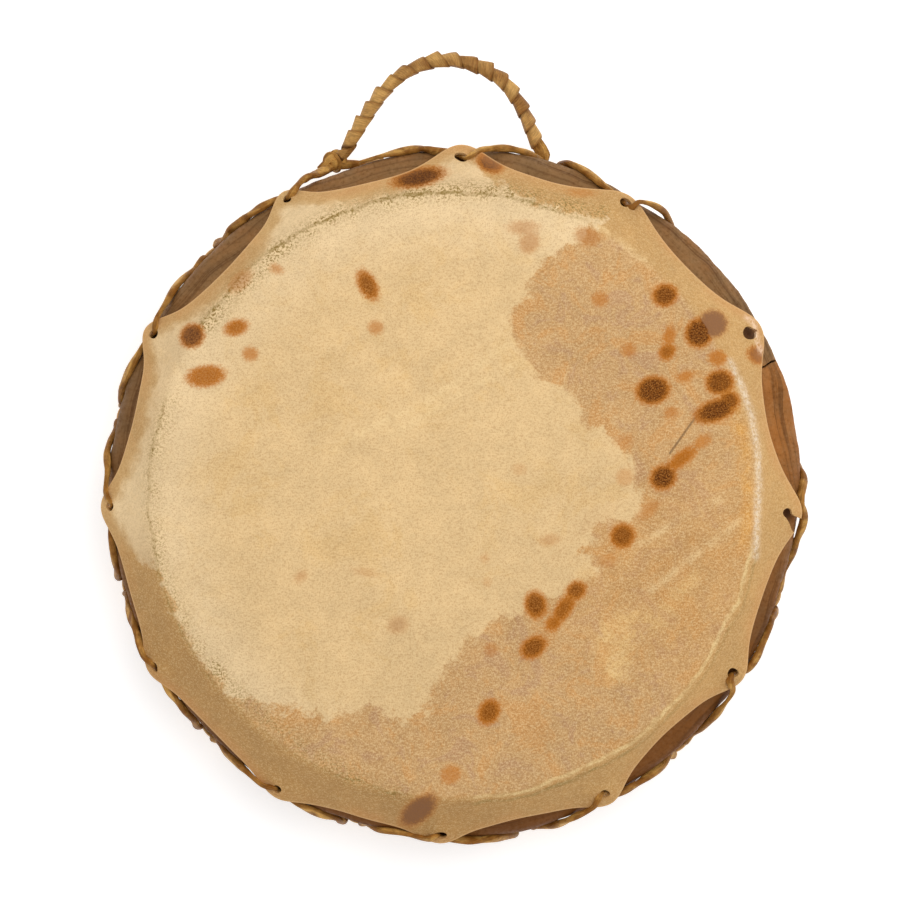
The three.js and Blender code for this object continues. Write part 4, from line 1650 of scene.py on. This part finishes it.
class DRUM_OT_set_stage(bpy.types.Operator):
    """Lay the floor, hang the lights and place the camera"""

    bl_idname = "drum.set_stage"
    bl_label = "Set stage"

    def execute(self, context):
        settings = context.scene.drum_stage
        scene = context.scene
        corners = np.array([(-1, -1, 0), (1, -1, 0), (1, 1, 0), (-1, 1, 0)]) * FLOOR_REACH
        floor = make_object("floor", corners, [[0, 1, 2, 3]])
        floor.data.materials.append(floor_material(tuple(settings.floor), settings.floor_glow))

        world = bpy.data.worlds.new("Studio air")
        world.use_nodes = True
        background = world.node_tree.nodes["Background"]
        background.inputs["Color"].default_value = WHITE
        background.inputs["Strength"].default_value = settings.daylight
        scene.world = world

        lamp = bpy.data.lights.new("Soft lamp", "AREA")
        lamp.shape = "DISK"
        lamp.size = LAMP_SIZE
        lamp.energy = settings.lamp_power
        hung = bpy.data.objects.new("Soft lamp", lamp)
        hung.location = LAMP_AT
        hung.rotation_euler = hung.location.to_track_quat("Z", "Y").to_euler()
        scene.collection.objects.link(hung)

        camera = bpy.data.cameras.new("Camera")
        camera.sensor_width = 36.0
        camera.lens = CAMERA_LENS
        eye = bpy.data.objects.new("Camera", camera)
        eye.location = (CAMERA_AT[0] * MM, CAMERA_AT[1] * MM, settings.eye_height)
        scene.collection.objects.link(eye)
        scene.camera = eye
        scene.view_settings.view_transform = "Standard"
        return {"FINISHED"}


# ---- the panel and the run ----

class DRUM_PT_workshop(bpy.types.Panel):
    """Everything that builds the drum"""

    bl_label = "Laced hide drum"
    bl_idname = "DRUM_PT_workshop"
    bl_space_type = "VIEW_3D"
    bl_region_type = "UI"
    bl_category = "Drum"

    def draw(self, context):
        for settings_name, operators in STEPS:
            box = self.layout.box()
            settings = getattr(context.scene, settings_name)
            for key in settings.bl_rna.properties.keys():
                if key not in ("rna_type", "name"):
                    box.prop(settings, key)
            for operator in operators:
                box.operator(operator.bl_idname)


SETTINGS = {
    "drum_stage": StageSettings,
    "drum_log": LogSettings,
    "drum_hide": HideSettings,
    "drum_lacing": LacingSettings,
    "drum_handle": HandleSettings,
}
STEPS = (
    ("drum_stage", (DRUM_OT_set_stage,)),
    ("drum_log", (DRUM_OT_carve_log,)),
    ("drum_hide", (DRUM_OT_stretch_front_hide, DRUM_OT_stretch_back_hide)),
    ("drum_lacing", (DRUM_OT_thread_lacing,)),
    ("drum_handle", (DRUM_OT_bind_handle,)),
)
OPERATORS = tuple(operator for _, operators in STEPS for operator in operators)


def register():
    for settings_class in SETTINGS.values():
        bpy.utils.register_class(settings_class)
    for operator in OPERATORS:
        bpy.utils.register_class(operator)
    bpy.utils.register_class(DRUM_PT_workshop)
    for name, settings_class in SETTINGS.items():
        setattr(bpy.types.Scene, name, PointerProperty(type=settings_class))


def unregister():
    for name in SETTINGS:
        delattr(bpy.types.Scene, name)
    bpy.utils.unregister_class(DRUM_PT_workshop)
    for operator in reversed(OPERATORS):
        bpy.utils.unregister_class(operator)
    for settings_class in reversed(tuple(SETTINGS.values())):
        bpy.utils.unregister_class(settings_class)


def main():
    register()
    bpy.ops.drum.set_stage()
    bpy.ops.drum.carve_log()
    bpy.ops.drum.stretch_front_hide()
    bpy.ops.drum.stretch_back_hide()
    bpy.ops.drum.thread_lacing()
    bpy.ops.drum.bind_handle()


if __name__ == "__main__":
    main()
